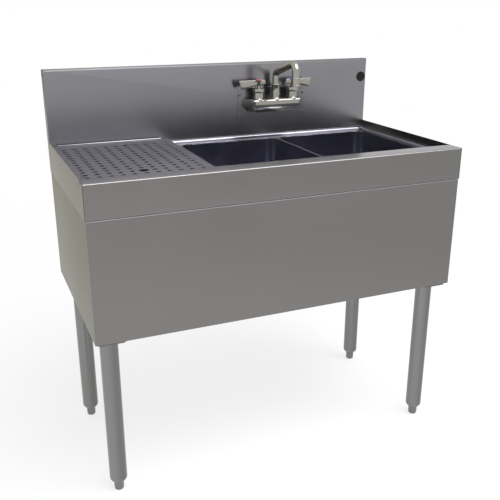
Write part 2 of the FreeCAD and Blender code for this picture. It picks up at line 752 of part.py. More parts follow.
plate_under = f"({skirt_foot} - mount_plate_thick)"
socket_bore = "(leg_radius + socket_gap)"
socket_outer = f"({socket_bore} + socket_wall)"
leg_start = "(foot_stand + collar_height)"
screws = []
for end, leg_y in (("front", leg_front), ("rear", leg_rear)):
    for side, leg_x in (("left", leg_left), ("right", leg_right)):
        name = f"{end}_{side}"
        body = doc.addObject("PartDesign::Body", f"{name}_mount_body")
        flat = body_box(body, "Additive", "Plate",
                        ("mount_plate_width", "mount_plate_depth", "mount_plate_thick"),
                        ("-mount_plate_width / 2", "-mount_plate_depth / 2", "0"))
        corners = rounded(body, flat, "mount_plate_chamfer", upright, kind="Chamfer")
        body_rod(body, "Additive", "Socket", socket_outer, "mount_plate_thick + socket_height",
                 ("0", "0", "0"))
        body_rod(body, "Subtractive", "Bore", socket_bore, "mount_plate_thick + socket_height * 2",
                 ("0", "0", "-mount_plate_thick"))
        screw_z = "mount_plate_thick + socket_height * 0.6"
        inward = 1 if side == "left" else -1
        screw_turn = "+X" if side == "left" else "-X"
        body_rod(body, "Subtractive", "ScrewHole", "set_screw_radius + running_gap",
                 "socket_wall * 4", (f"{inward} * ({socket_bore} - socket_wall)", "0", screw_z),
                 screw_turn)
        place(body, (leg_x, leg_y, plate_under))
        doc.recompute()
        node(body, f"leg_mount_{name}")
        screws.append(rod(f"{name}_set_screw", "set_screw_radius", "socket_wall + set_screw_stand",
                          (f"{leg_x} + {inward} * (leg_radius + running_gap)", leg_y,
                           f"{plate_under} + {screw_z}"), screw_turn))
        node(turned(f"{name}_leg_body", [
            ("leg_radius - leg_wall", "0"),
            ("leg_radius", "0"),
            ("leg_radius", f"{plate_under} + mount_plate_thick + socket_height - {leg_start}"),
            ("leg_radius - leg_wall",
             f"{plate_under} + mount_plate_thick + socket_height - {leg_start}"),
        ], (leg_x, leg_y, leg_start)), f"leg_{name}")
        guide = "(foot_radius + running_gap)"
        plug = "(leg_radius - leg_wall - running_gap)"
        node(turned(f"{name}_collar_body", [
            (guide, "0"),
            ("collar_low_radius", "0"),
            ("leg_radius - collar_shoulder", "collar_height * 0.62"),
            ("leg_radius", "collar_height * 0.85"),
            ("leg_radius", "collar_height"),
            (plug, "collar_height"),
            (plug, "collar_height + collar_plug"),
            (guide, "collar_height + collar_plug"),
        ], (leg_x, leg_y, "foot_stand")), f"leg_collar_{name}")
        node(turned(f"{name}_foot_body", [
            ("0", "0"),
            ("foot_radius - foot_chamfer", "0"),
            ("foot_radius", "foot_chamfer"),
            ("foot_radius", "foot_stand + foot_engagement"),
            ("0", "foot_stand + foot_engagement"),
        ], (leg_x, leg_y, "0")), f"foot_{name}")
node(grouped("set_screw_group", screws), "leg_set_screws")

# ---------------------------------------------------------------- splash fittings

panel_front = f"({splash_front} - panel_thick)"
shank_spots = [("hot", f"({tap_x} - valve_offset)", -1), ("cold", f"({tap_x} + valve_offset)", 1)]
shank_neck = "(shank_radius + thread_step)"
panel_blank = block("panel_blank", (panel_width, "panel_thick", panel_height),
                    (f"{tap_x} - {panel_width} / 2", panel_front,
                     f"{tap_z} - {panel_height} / 2"))
panel_tools = [
    rod(f"panel_screw_hole_{index}", "screw_radius + running_gap", "panel_thick * 3",
        (spot_x, f"{panel_front} - panel_thick", spot_z), "+Y")
    for index, (spot_x, spot_z) in enumerate(screw_spots)
]
for name, shank_x, side in shank_spots:
    panel_tools.append(rod(f"panel_{name}_hole", f"{shank_neck} + shank_hole_gap",
                           "panel_thick * 3", (shank_x, f"{panel_front} - panel_thick", tap_z),
                           "+Y"))
node(cut("panel_cut", panel_blank, panel_tools), "tap_access_panel")

panel_screws = []
for index, (spot_x, spot_z) in enumerate(screw_spots):
    panel_screws.append(turned(f"panel_screw_{index}", [
        ("0", "0"),
        ("screw_radius", "0"),
        ("screw_radius", "screw_length"),
        ("screw_head_radius", "screw_length"),
        ("screw_head_radius", "screw_length + screw_head_thick * 0.4"),
        ("screw_head_radius * 0.6", "screw_length + screw_head_thick"),
        ("0", "screw_length + screw_head_thick"),
    ], (spot_x, f"{panel_front} + screw_length", spot_z), Rotation(Vector(1, 0, 0), 90)))
node(grouped("panel_screw_group", panel_screws), "panel_screws")

node(turned("plug_body", [
    ("0", "0"),
    ("plug_radius - running_gap", "0"),
    ("plug_radius - running_gap", "sheet_gauge + plug_grip"),
    ("plug_radius + plug_lip", "sheet_gauge + plug_grip"),
    ("plug_radius + plug_lip", "sheet_gauge + plug_grip + plug_lip_thick * 0.4"),
    ("plug_radius", "sheet_gauge + plug_grip + plug_lip_thick"),
    ("0", "sheet_gauge + plug_grip + plug_lip_thick"),
], (plug_x, f"{splash_front} + sheet_gauge + plug_grip", plug_z), Rotation(Vector(1, 0, 0), 90)),
    "splash_plug")

# ---------------------------------------------------------------- tap

valve_y = f"({panel_front} - valve_reach)"
boss_top = f"({tap_z} + boss_height)"
post_top = f"({tap_z} + post_height)"


def loft_section(body, name, wide, tall, reach):
    half = f"({wide}) / 2"
    low = f"-({tall}) / 2"
    high = f"({tall}) / 2"
    points = [
        (f"-{half} + body_keel", low), (f"{half} - body_keel", low),
        (half, f"{low} + body_keel"), (half, f"{high} - body_corner"),
        (f"{half} - body_corner", high), (f"-{half} + body_corner", high),
        (f"-{half}", f"{high} - body_corner"), (f"-{half}", f"{low} + body_keel"),
    ]
    return outline(body, "XZ_Plane", points, name, offset=reach)


tap = doc.addObject("PartDesign::Body", "tap_body_casting")
casting = tap.newObject("PartDesign::AdditiveLoft", "Casting")
casting.Profile = loft_section(tap, "WallSection", "body_wall_width", "body_wall_height", "0")
casting.Sections = [
    loft_section(tap, "ValveSection", "body_width", "body_height", "valve_reach"),
    loft_section(tap, "NoseSection", "body_nose_width", "body_nose_height", "body_nose_reach"),
]
casting.Ruled = True
doc.recompute()
for name, offset_x, radius, height in (
        ("HotBoss", "-valve_offset", "boss_radius", "boss_height"),
        ("ColdBoss", "valve_offset", "boss_radius", "boss_height"),
        ("SpoutPost", "0", "post_radius", "post_height")):
    body_rod(tap, "Additive", name, radius, height, (offset_x, "-valve_reach", "0"))
for name, offset_x in (("HotStemBore", "-valve_offset"), ("ColdStemBore", "valve_offset")):
    body_rod(tap, "Subtractive", name, "stem_radius + running_gap", "stem_socket + 1",
             (offset_x, "-valve_reach", "boss_height - stem_socket"))
body_rod(tap, "Subtractive", "WaterWay", "spout_radius - spout_wall", "post_height",
         ("0", "-valve_reach", "1"))
place(tap, (tap_x, panel_front, tap_z))
doc.recompute()
node(tap, "tap_body")

for name, shank_x, side in shank_spots:
    neck_run = "(panel_thick + shank_nut_thick + thread_run_out)"
    node(turned(f"{name}_shank_body", [
        ("0", "0"),
        (shank_neck, "0"),
        (shank_neck, neck_run),
        ("shank_radius", neck_run),
        ("shank_radius", "panel_thick + shank_tail"),
        ("shank_bore_radius", "panel_thick + shank_tail"),
        ("shank_bore_radius", "shank_closed_end"),
        ("0", "shank_closed_end"),
    ], (shank_x, panel_front, tap_z), turn_to["+Y"]), f"supply_shank_{name}")
shank_nuts = []
for name, shank_x, side in shank_spots:
    shank_nuts.append(cut(f"{name}_shank_nut_cut",
                          hexagon(f"{name}_shank_nut_blank", f"{shank_neck} + shank_nut_land",
                                  "shank_nut_thick", (shank_x, splash_front, tap_z), "+Y"),
                          [rod(f"{name}_shank_nut_bore", f"{shank_neck} + running_gap",
                               "shank_nut_thick * 3",
                               (shank_x, f"{splash_front} - shank_nut_thick", tap_z), "+Y")]))
node(grouped("shank_nut_group", shank_nuts), "shank_locknuts")

hub_z = f"({boss_top} + bonnet_neck_height + bonnet_hex_height + rest_gap)"
for name, valve_x, side in shank_spots:
    neck = rod(f"{name}_bonnet_neck", "bonnet_neck_radius", "bonnet_neck_height",
               (valve_x, valve_y, boss_top))
    flats = hexagon(f"{name}_bonnet_flats", "bonnet_hex_radius", "bonnet_hex_height",
                    (valve_x, valve_y, f"{boss_top} + bonnet_neck_height"))
    bore = rod(f"{name}_bonnet_bore", "stem_radius + running_gap",
               "bonnet_neck_height + bonnet_hex_height + 4",
               (valve_x, valve_y, f"{boss_top} - 2"))
    node(cut(f"{name}_bonnet_cut", joined(f"{name}_bonnet_blank", [neck, flats]), [bore]),
         f"bonnet_{name}")
    stem_foot = f"({boss_top} - stem_socket + rest_gap)"
    stem_head = f"({hub_z} + hub_height - hub_wall_over_stem)"
    node(rod(f"{name}_stem_rod", "stem_radius", f"{stem_head} - {stem_foot}",
             (valve_x, valve_y, stem_foot)), f"valve_stem_{name}")
    # Wrist-blade handle: an upright flared blade through a hub, with a short tail.
    handle = doc.addObject("PartDesign::Body", f"{name}_handle_body")
    head = "hub_height"
    face = outline(handle, "XZ_Plane", [
        ("0", f"{head} - blade_tail_height"),
        ("blade_tail", f"{head} - blade_root_height"),
        ("blade_tail + hub_radius", f"{head} - blade_root_height"),
        ("blade_tail + blade_reach - blade_tip_slope", f"{head} - blade_tip_height"),
        ("blade_tail + blade_reach", head),
        ("blade_corner", head),
        ("0", f"{head} - blade_corner"),
    ])
    blade = handle.newObject("PartDesign::Pad", "Blade")
    blade.Profile = face
    bind(blade, "Length", "blade_thick")
    blade.Midplane = True
    body_rod(handle, "Additive", "Hub", "hub_radius", "hub_height", ("blade_tail", "0", "0"))
    body_rod(handle, "Subtractive", "StemBore", "stem_radius", "hub_height - hub_wall_over_stem",
             ("blade_tail", "0", "0"))
    place(handle, (f"{valve_x} - {side} * blade_tail", valve_y, hub_z),
          Rotation(Vector(0, 0, 1), 0 if side > 0 else 180))
    doc.recompute()
    node(handle, f"handle_{name}")
    cap = turned(f"{name}_cap_body", [
        ("0", "0"),
        ("cap_radius", "0"),
        ("cap_radius", "cap_thick * 0.7"),
        ("cap_radius - cap_edge", "cap_thick"),
        ("0", "cap_thick"),
    ], (valve_x, valve_y, f"{hub_z} + hub_height"))
    node(cap, f"index_cap_{name}")

# The spout turns on the post: a bent tube that rises forwards, crowns and drops to its outlet.
spout = doc.addObject("PartDesign::Body", "spout_tube_body")
spout_foot = "(post_height + rest_gap)"
ring = attached_sketch(spout, "XY_Plane", "TubeSection")
ring.addGeometry(Part.Circle(Vector(0, 0, 0), Vector(0, 0, 1), value("spout_radius")), False)
ring.addConstraint(Sketcher.Constraint("Coincident", 0, centre_point, *origin))
ring.addGeometry(Part.Circle(Vector(0, 0, 0), Vector(0, 0, 1),
                             value("spout_radius - spout_wall")), False)
ring.addConstraint(Sketcher.Constraint("Coincident", 1, centre_point, *origin))
for index, (alias, expression) in enumerate((("outside", "spout_radius"),
                                             ("inside", "spout_radius - spout_wall"))):
    number = ring.addConstraint(Sketcher.Constraint("Radius", index, value(expression)))
    ring.renameConstraint(number, alias)
    bind(ring, f"Constraints.{alias}", expression)

elbow_z = value(f"spout_elbow_rise - {spout_foot}")
crown_z = value(f"spout_crown_rise - {spout_foot}")
outlet_z = value(f"spout_outlet_rise - {spout_foot}")
reach = value("spout_reach")
climb = math.atan2(crown_z - elbow_z, reach)
elbow_radius = value("elbow_radius")
crown_radius = value("crown_radius")
elbow_setback = elbow_radius * math.tan((math.pi / 2 - climb) / 2)
crown_setback = crown_radius * math.tan((math.pi / 2 + climb) / 2)


def toward(start, angle, distance):
    return Vector(start.x + distance * math.cos(angle), start.y + distance * math.sin(angle), 0)


elbow = Vector(0, elbow_z, 0)
crown = Vector(reach, crown_z, 0)
elbow_in = Vector(0, elbow_z - elbow_setback, 0)
elbow_out = toward(elbow, climb, elbow_setback)
crown_in = toward(crown, climb + math.pi, crown_setback)
crown_out = Vector(reach, crown_z - crown_setback, 0)
elbow_centre = Vector(elbow_radius, elbow_in.y, 0)
crown_centre = Vector(reach - crown_radius, crown_out.y, 0)
spine = attached_sketch(spout, "YZ_Plane", "TubeRoute")
up = Vector(0, 0, 1)
spine.addGeometry(Part.LineSegment(Vector(0, 0, 0), elbow_in), False)
spine.addGeometry(Part.ArcOfCircle(Part.Circle(elbow_centre, up, elbow_radius),
                                   math.pi / 2 + climb, math.pi), False)
spine.addGeometry(Part.LineSegment(elbow_out, crown_in), False)
spine.addGeometry(Part.ArcOfCircle(Part.Circle(crown_centre, up, crown_radius),
                                   0, math.pi / 2 + climb), False)
spine.addGeometry(Part.LineSegment(crown_out, Vector(reach, outlet_z, 0)), False)
riser, elbow_arc, slope, crown_arc, drop = range(5)
for first, first_end, second, second_end in (
        (riser, end_point, elbow_arc, end_point), (elbow_arc, start_point, slope, start_point),
        (slope, end_point, crown_arc, end_point), (crown_arc, start_point, drop, start_point)):
    spine.addConstraint(Sketcher.Constraint("Tangent", first, first_end, second, second_end))
spine.addConstraint(Sketcher.Constraint("Coincident", riser, start_point, *origin))
spine.addConstraint(Sketcher.Constraint("Vertical", riser))
spine.addConstraint(Sketcher.Constraint("Vertical", drop))
for kind, spots, alias, expression in (
        ("Radius", (elbow_arc,), "elbow_bend", "elbow_radius"),
        ("Radius", (crown_arc,), "crown_bend", "crown_radius"),
        ("DistanceX", (*origin, drop, end_point), "reach", "spout_reach"),
        ("DistanceY", (*origin, drop, end_point), "outlet",
         f"spout_outlet_rise - {spout_foot}")):
    number = spine.addConstraint(Sketcher.Constraint(kind, *spots, value(expression)))
    spine.renameConstraint(number, alias)
    bind(spine, f"Constraints.{alias}", expression)
elbow_drop = "(spout_crown_rise - spout_elbow_rise)"
pitch = spine.addConstraint(Sketcher.Constraint("Angle", *origin, slope, start_point, climb))
spine.renameConstraint(pitch, "climb")
bind(spine, "Constraints.climb", f"atan({elbow_drop} / spout_reach)")
height = spine.addConstraint(Sketcher.Constraint("DistanceY", *origin, elbow_arc, centre_point,
                                                 elbow_in.y))
spine.renameConstraint(height, "elbow_height")
bind(spine, "Constraints.elbow_height",
     f"spout_elbow_rise - {spout_foot} - elbow_radius"
     f" * tan((90 deg - atan({elbow_drop} / spout_reach)) / 2)")
doc.recompute()
tube = spout.newObject("PartDesign::AdditivePipe", "Tube")
tube.Profile = ring
tube.Spine = (spine, [])
place(spout, (tap_x, valve_y, f"{tap_z} + {spout_foot}"), Rotation(Vector(0, 0, 1), 180))
doc.recompute()
node(spout, "spout")

nut_bore_radius = "(spout_radius + running_gap)"
nut_outer = f"({nut_bore_radius} + spout_nut_wall)"
node(turned("spout_nut_body", [
    (nut_bore_radius, "0"),
    (f"{nut_outer} + spout_nut_step", "0"),
    (f"{nut_outer} + spout_nut_step", "spout_nut_height * 0.2"),
    (nut_outer, "spout_nut_height * 0.25"),
    (nut_outer, "spout_nut_height * 0.92"),
    (f"{nut_outer} - spout_nut_step", "spout_nut_height"),
    (nut_bore_radius, "spout_nut_height"),
], (tap_x, valve_y, post_top)), "spout_nut")

outlet_y = f"({valve_y} - spout_reach)"
node(turned("aerator_body", [
    ("spout_radius - spout_wall", "0"),
    ("spout_radius + aerator_wall - aerator_edge", "0"),
    ("spout_radius + aerator_wall", "aerator_edge"),
    ("spout_radius + aerator_wall", "aerator_height"),
    ("spout_radius", "aerator_height"),
    ("spout_radius", "aerator_lip"),
    ("spout_radius - spout_wall", "aerator_lip"),
], (tap_x, outlet_y, f"{tap_z} + spout_outlet_rise - aerator_lip")), "aerator")

# ---------------------------------------------------------------- checks and export

doc.recompute()
for item in doc.Objects:
    if "Invalid" in item.State or "Error" in item.State:
        raise RuntimeError(f"{item.Name} did not build: {item.State}")
for item in nodes:
    if item.Shape.isNull() or not item.Shape.isValid() or not item.Shape.Solids:
        raise RuntimeError(f"{item.Label} has no valid solid")
for item in nodes:
    item.Shape.exportStep(f"parts/{item.Label}.step")
print(f"{len(nodes)} pieces written")
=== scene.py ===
import json
import math
import bmesh
import bpy
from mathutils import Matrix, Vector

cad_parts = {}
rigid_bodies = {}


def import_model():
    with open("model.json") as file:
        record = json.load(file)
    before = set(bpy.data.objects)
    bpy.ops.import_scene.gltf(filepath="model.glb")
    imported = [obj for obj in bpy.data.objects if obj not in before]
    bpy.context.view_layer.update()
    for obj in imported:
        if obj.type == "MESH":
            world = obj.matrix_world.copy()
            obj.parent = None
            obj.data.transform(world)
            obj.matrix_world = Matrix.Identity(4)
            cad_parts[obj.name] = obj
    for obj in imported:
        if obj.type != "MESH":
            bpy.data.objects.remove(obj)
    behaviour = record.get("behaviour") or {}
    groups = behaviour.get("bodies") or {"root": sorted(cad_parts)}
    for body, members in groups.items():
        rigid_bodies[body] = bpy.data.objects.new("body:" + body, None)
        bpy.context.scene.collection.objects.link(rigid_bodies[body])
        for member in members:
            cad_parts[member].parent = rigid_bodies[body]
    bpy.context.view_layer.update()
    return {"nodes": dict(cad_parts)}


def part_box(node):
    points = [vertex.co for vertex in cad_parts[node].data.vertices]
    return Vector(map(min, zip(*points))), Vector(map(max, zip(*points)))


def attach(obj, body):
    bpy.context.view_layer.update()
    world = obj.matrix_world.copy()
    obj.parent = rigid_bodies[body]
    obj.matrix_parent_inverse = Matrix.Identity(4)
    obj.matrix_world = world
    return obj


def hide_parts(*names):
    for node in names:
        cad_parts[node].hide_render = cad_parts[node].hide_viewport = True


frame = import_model()
nodes = frame["nodes"]
print("frame loaded")

mm = 0.001
touch = 0.0001  # metres: closer than this counts as touching


# small helpers for working as in the viewport

def clearSelection():
    if bpy.context.object and bpy.context.object.mode != "OBJECT":
        bpy.ops.object.mode_set(mode="OBJECT")
    bpy.ops.object.select_all(action="DESELECT")


def choose(piece):  # the only piece selected, and the active one
    clearSelection()
    piece.select_set(True)
    bpy.context.view_layer.objects.active = piece


def startPiece(addPrimitive, **options):  # a primitive in place, opened for editing
    clearSelection()
    addPrimitive(**options)
    bpy.ops.object.transform_apply(location=True, rotation=True, scale=True)
    bpy.ops.object.mode_set(mode="EDIT")
    bpy.ops.mesh.select_all(action="DESELECT")
    return bpy.context.object


def startBlock(low, high):
    middle = [(a + b) / 2 for a, b in zip(low, high)]
    span = [b - a for a, b in zip(low, high)]
    return startPiece(bpy.ops.mesh.primitive_cube_add, size=1, location=middle, scale=span)


def pick(kind, test):  # faces are tested by middle and normal, edges by both ends, points by place
    bpy.ops.mesh.select_mode(type=kind)
    bpy.ops.mesh.select_all(action="DESELECT")
    data = bpy.context.edit_object.data
    mesh = bmesh.from_edit_mesh(data)
    mesh.normal_update()
    for face in mesh.faces if kind == "FACE" else ():
        if test(face.calc_center_median(), face.normal):
            face.select_set(True)
    for edge in mesh.edges if kind == "EDGE" else ():
        if test(edge.verts[0].co, edge.verts[1].co):
            edge.select_set(True)
    for vert in mesh.verts if kind == "VERT" else ():
        if test(vert.co):
            vert.select_set(True)
    mesh.select_flush_mode()
    bmesh.update_edit_mesh(data)


def everyFace(spot, normal):
    return True


def facing(axis, sign):  # tests for faces that look along one axis
    return lambda spot, normal: sign * getattr(normal, axis) > 0.9


def lyingAt(**place):  # tests for edges whose two ends lie at the given x, y or z
    return lambda *ends: all(abs(getattr(end, axis) - level) < touch
                             for end in ends for axis, level in place.items())


def pushOut(move):
    bpy.ops.mesh.extrude_region_move(TRANSFORM_OT_translate={"value": move})


def resizeAbout(centre, factors):
    bpy.ops.transform.resize(value=factors, center_override=centre)


def closeShape():  # joins loose points and leaves edit mode with every face pointing out
    bpy.ops.mesh.select_all(action="SELECT")
    bpy.ops.mesh.remove_doubles(threshold=touch / 100)
    bpy.ops.mesh.normals_make_consistent(inside=False)
    bpy.ops.object.mode_set(mode="OBJECT")
    return bpy.context.object


def turnOnLathe(rings, sides=48):  # rings of radius and height in mm, on the origin
    radius, height = rings[0]
    startPiece(bpy.ops.mesh.primitive_circle_add, vertices=sides, radius=radius * mm,
               fill_type="NGON", location=(0, 0, height * mm))
    pick("FACE", everyFace)
    for nextRadius, nextHeight in rings[1:]:
        pushOut((0, 0, (nextHeight - height) * mm))
        grow = nextRadius / radius
        resizeAbout((0, 0, nextHeight * mm), (grow, grow, 1))
        radius, height = nextRadius, nextHeight
    return closeShape()


def layAt(piece, place, turn=(0, 0, 0)):
    choose(piece)
    piece.rotation_euler = [math.radians(angle) for angle in turn]
    piece.location = place
    bpy.ops.object.transform_apply(location=True, rotation=True, scale=True)
    return piece


def copyOf(piece, move=(0, 0, 0)):
    choose(piece)
    bpy.ops.object.duplicate(linked=False)
    return layAt(bpy.context.object, move)


def joinUp(pieces):
    clearSelection()
    for piece in pieces:
        piece.select_set(True)
    bpy.context.view_layer.objects.active = pieces[0]
    bpy.ops.object.join()
    return bpy.context.object


def softenEdges(piece, width, segments=3, angle=30):
    choose(piece)
    edges = piece.modifiers.new("edges", "BEVEL")
    edges.width = width * mm
    edges.segments = segments
    edges.limit_method = "ANGLE"
    edges.angle_limit = math.radians(angle)
    edges.use_clamp_overlap = True
    bpy.ops.object.modifier_apply(modifier="edges")
    return piece


def cutAway(piece, cutter):
    choose(piece)
    cut = piece.modifiers.new("cut", "BOOLEAN")
    cut.operation = "DIFFERENCE"
    cut.object = cutter
    bpy.ops.object.modifier_apply(modifier="cut")
    bpy.data.objects.remove(cutter)
    return piece


def smoothOver(piece, angle=38):
    choose(piece)
    bpy.ops.object.shade_smooth_by_angle(angle=math.radians(angle))
    return piece


def dress(piece, name, material, body, standsFor=()):
    piece.name = name
    piece.data.name = name
    piece.data.materials.clear()
    piece.data.materials.append(material)
    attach(piece, body)
    if standsFor:
        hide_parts(*standsFor)
    return piece


def paintFaces(piece, material, test):  # a second finish on the faces that pass the test
    choose(piece)
    piece.data.materials.append(material)
    bpy.ops.object.mode_set(mode="EDIT")
    pick("FACE", test)
    piece.active_material_index = len(piece.data.materials) - 1
    bpy.ops.object.material_slot_assign()
    bpy.ops.object.mode_set(mode="OBJECT")


def copyOfNode(node, clean=True):  # a CAD node's loose triangles, joined and opened for editing
    choose(nodes[node])
    bpy.ops.object.duplicate(linked=False)
    bpy.ops.object.parent_clear(type="CLEAR_KEEP_TRANSFORM")
    bpy.ops.object.mode_set(mode="EDIT")
    bpy.ops.mesh.select_all(action="SELECT")
    bpy.ops.mesh.remove_doubles(threshold=touch / 10)
    if clean:
        bpy.ops.mesh.dissolve_limited(angle_limit=math.radians(0.5))
    return bpy.context.object


def roundEdges(radius, segments, test):  # the edges that pass the test, in the piece being edited
    pick("EDGE", test)
    bpy.ops.mesh.bevel(offset=radius * mm, segments=segments, profile=0.5, affect="EDGES",
                       clamp_overlap=True)


def centreOf(node):
    low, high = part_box(node)
    return [(a + b) / 2 for a, b in zip(low, high)]


# finishes: metals and plastics drawn by noise, without pictures

def addNode(tree, kind, inputs=(), **settings):
    node = tree.nodes.new(kind)
    for key, setting in settings.items():
        setattr(node, key, setting)
    for key, source in dict(inputs).items():
        if isinstance(source, bpy.types.NodeSocket):
            tree.links.new(source, node.inputs[key])
        else:
            node.inputs[key].default_value = source
    return node


def firstNode(tree, kind):
    return next(node for node in tree.nodes if node.bl_idname == kind)


def newTree(name):
    material = bpy.data.materials.new(name)
    material.use_nodes = True
    material.node_tree.nodes.clear()
    return material, material.node_tree


def remap(tree, source, low, high, fromLow=0.3, fromHigh=0.7):
    return addNode(tree, "ShaderNodeMapRange", {"Value": source, "From Min": fromLow,
                   "From Max": fromHigh, "To Min": low, "To Max": high}).outputs["Result"]


def blendColors(tree, factor, first, second):
    mix = addNode(tree, "ShaderNodeMix", data_type="RGBA")
    for key, source in ((0, factor), (6, first), (7, second)):
        if isinstance(source, bpy.types.NodeSocket):
            tree.links.new(source, mix.inputs[key])
        else:
            mix.inputs[key].default_value = source
    return mix.outputs[2]


streakShare = 0.6  # of the tone, the part that brushed streaks make
cloudShare = 0.4
wearStart, wearEnd = 0.72, 0.995  # cosine of an edge's turn: full wear, then none
noiseLow, noiseHigh = 0.25, 0.75  # the range of the noise that is stretched out
edgeSamples = 6


def metalFinish(name, look):
    material, tree = newTree(name)
    place = addNode(tree, "ShaderNodeTexCoord").outputs["Object"]
    grainPlace = addNode(tree, "ShaderNodeMapping", {"Vector": place, "Scale": look["grainScale"]})
    grain = addNode(tree, "ShaderNodeTexNoise", {"Vector": grainPlace.outputs[0], "Scale": 1.0,
                    "Detail": 3.0, "Roughness": 0.55}).outputs["Fac"]
    clouds = addNode(tree, "ShaderNodeTexNoise", {"Vector": place, "Scale": look["cloudScale"],
                     "Detail": 2.0, "Roughness": 0.45}).outputs["Fac"]
    streaks = addNode(tree, "ShaderNodeMath", {0: grain, 1: streakShare}, operation="MULTIPLY")
    tone = addNode(tree, "ShaderNodeMath", {0: clouds, 1: cloudShare, 2: streaks.outputs[0]},
                   operation="MULTIPLY_ADD").outputs[0]
    base = blendColors(tree, remap(tree, tone, 0.0, 1.0, noiseLow, noiseHigh),
                       (*look["darkColor"], 1), (*look["paleColor"], 1))
    # rounded edges catch light and are rubbed brighter
    rounded = addNode(tree, "ShaderNodeBevel", {"Radius": look["edgeRadius"] * mm},
                      samples=edgeSamples)
    flat = addNode(tree, "ShaderNodeNewGeometry").outputs["Normal"]
    bend = addNode(tree, "ShaderNodeVectorMath", {0: rounded.outputs[0], 1: flat},
                   operation="DOT_PRODUCT").outputs["Value"]
    wear = remap(tree, bend, look["edgeWear"], 0.0, wearStart, wearEnd)
    color = blendColors(tree, wear, base, (*look["wornColor"], 1))
    roughness = remap(tree, clouds, *look["roughness"], noiseLow, noiseHigh)
    bump = addNode(tree, "ShaderNodeBump", {"Height": grain, "Strength": look["bump"],
                   "Distance": look["bumpDepth"] * mm, "Normal": rounded.outputs[0]})
    shader = addNode(tree, "ShaderNodeBsdfPrincipled", {
        "Base Color": color, "Metallic": look["metallic"], "Roughness": roughness,
        "Normal": bump.outputs[0], "Anisotropic": look["brushed"],
        "Anisotropic Rotation": 0.25, "Specular Tint": (*look["grazingColor"], 1)})
    if look["brushed"]:
        along = addNode(tree, "ShaderNodeTangent", direction_type="RADIAL", axis=look["brushAxis"])
        tree.links.new(along.outputs[0], shader.inputs["Tangent"])
    addNode(tree, "ShaderNodeOutputMaterial", {"Surface": shader.outputs[0]})
    return material


alongX = (9, 700, 700)  # scale of the grain when the sheet is brushed along one axis
alongY = (700, 9, 700)
alongZ = (700, 700, 9)


def metalLook(color, tint=(1, 1, 1), spread=0.025, grazing=1.0, **changes):
    # color is the linear grey, grazing is how much a glancing view still reflects;
    # the worn edges are a third brighter
    look = {
        "darkColor": [color * (1 - spread) * t for t in tint],
        "paleColor": [color * (1 + spread) * t for t in tint],
        "wornColor": [min(color * 1.3 * t, 0.9) for t in tint],
        "grazingColor": [min(grazing * t, 1.0) for t in tint],
        "grainScale": alongX, "cloudScale": 5.0, "roughness": (0.24, 0.28),
        "bump": 0.08, "bumpDepth": 0.04, "edgeRadius": 0.6, "edgeWear": 0.3,
        "brushed": 0.0, "brushAxis": "Z", "metallic": 1.0,
    }
    look.update(changes)
    return look


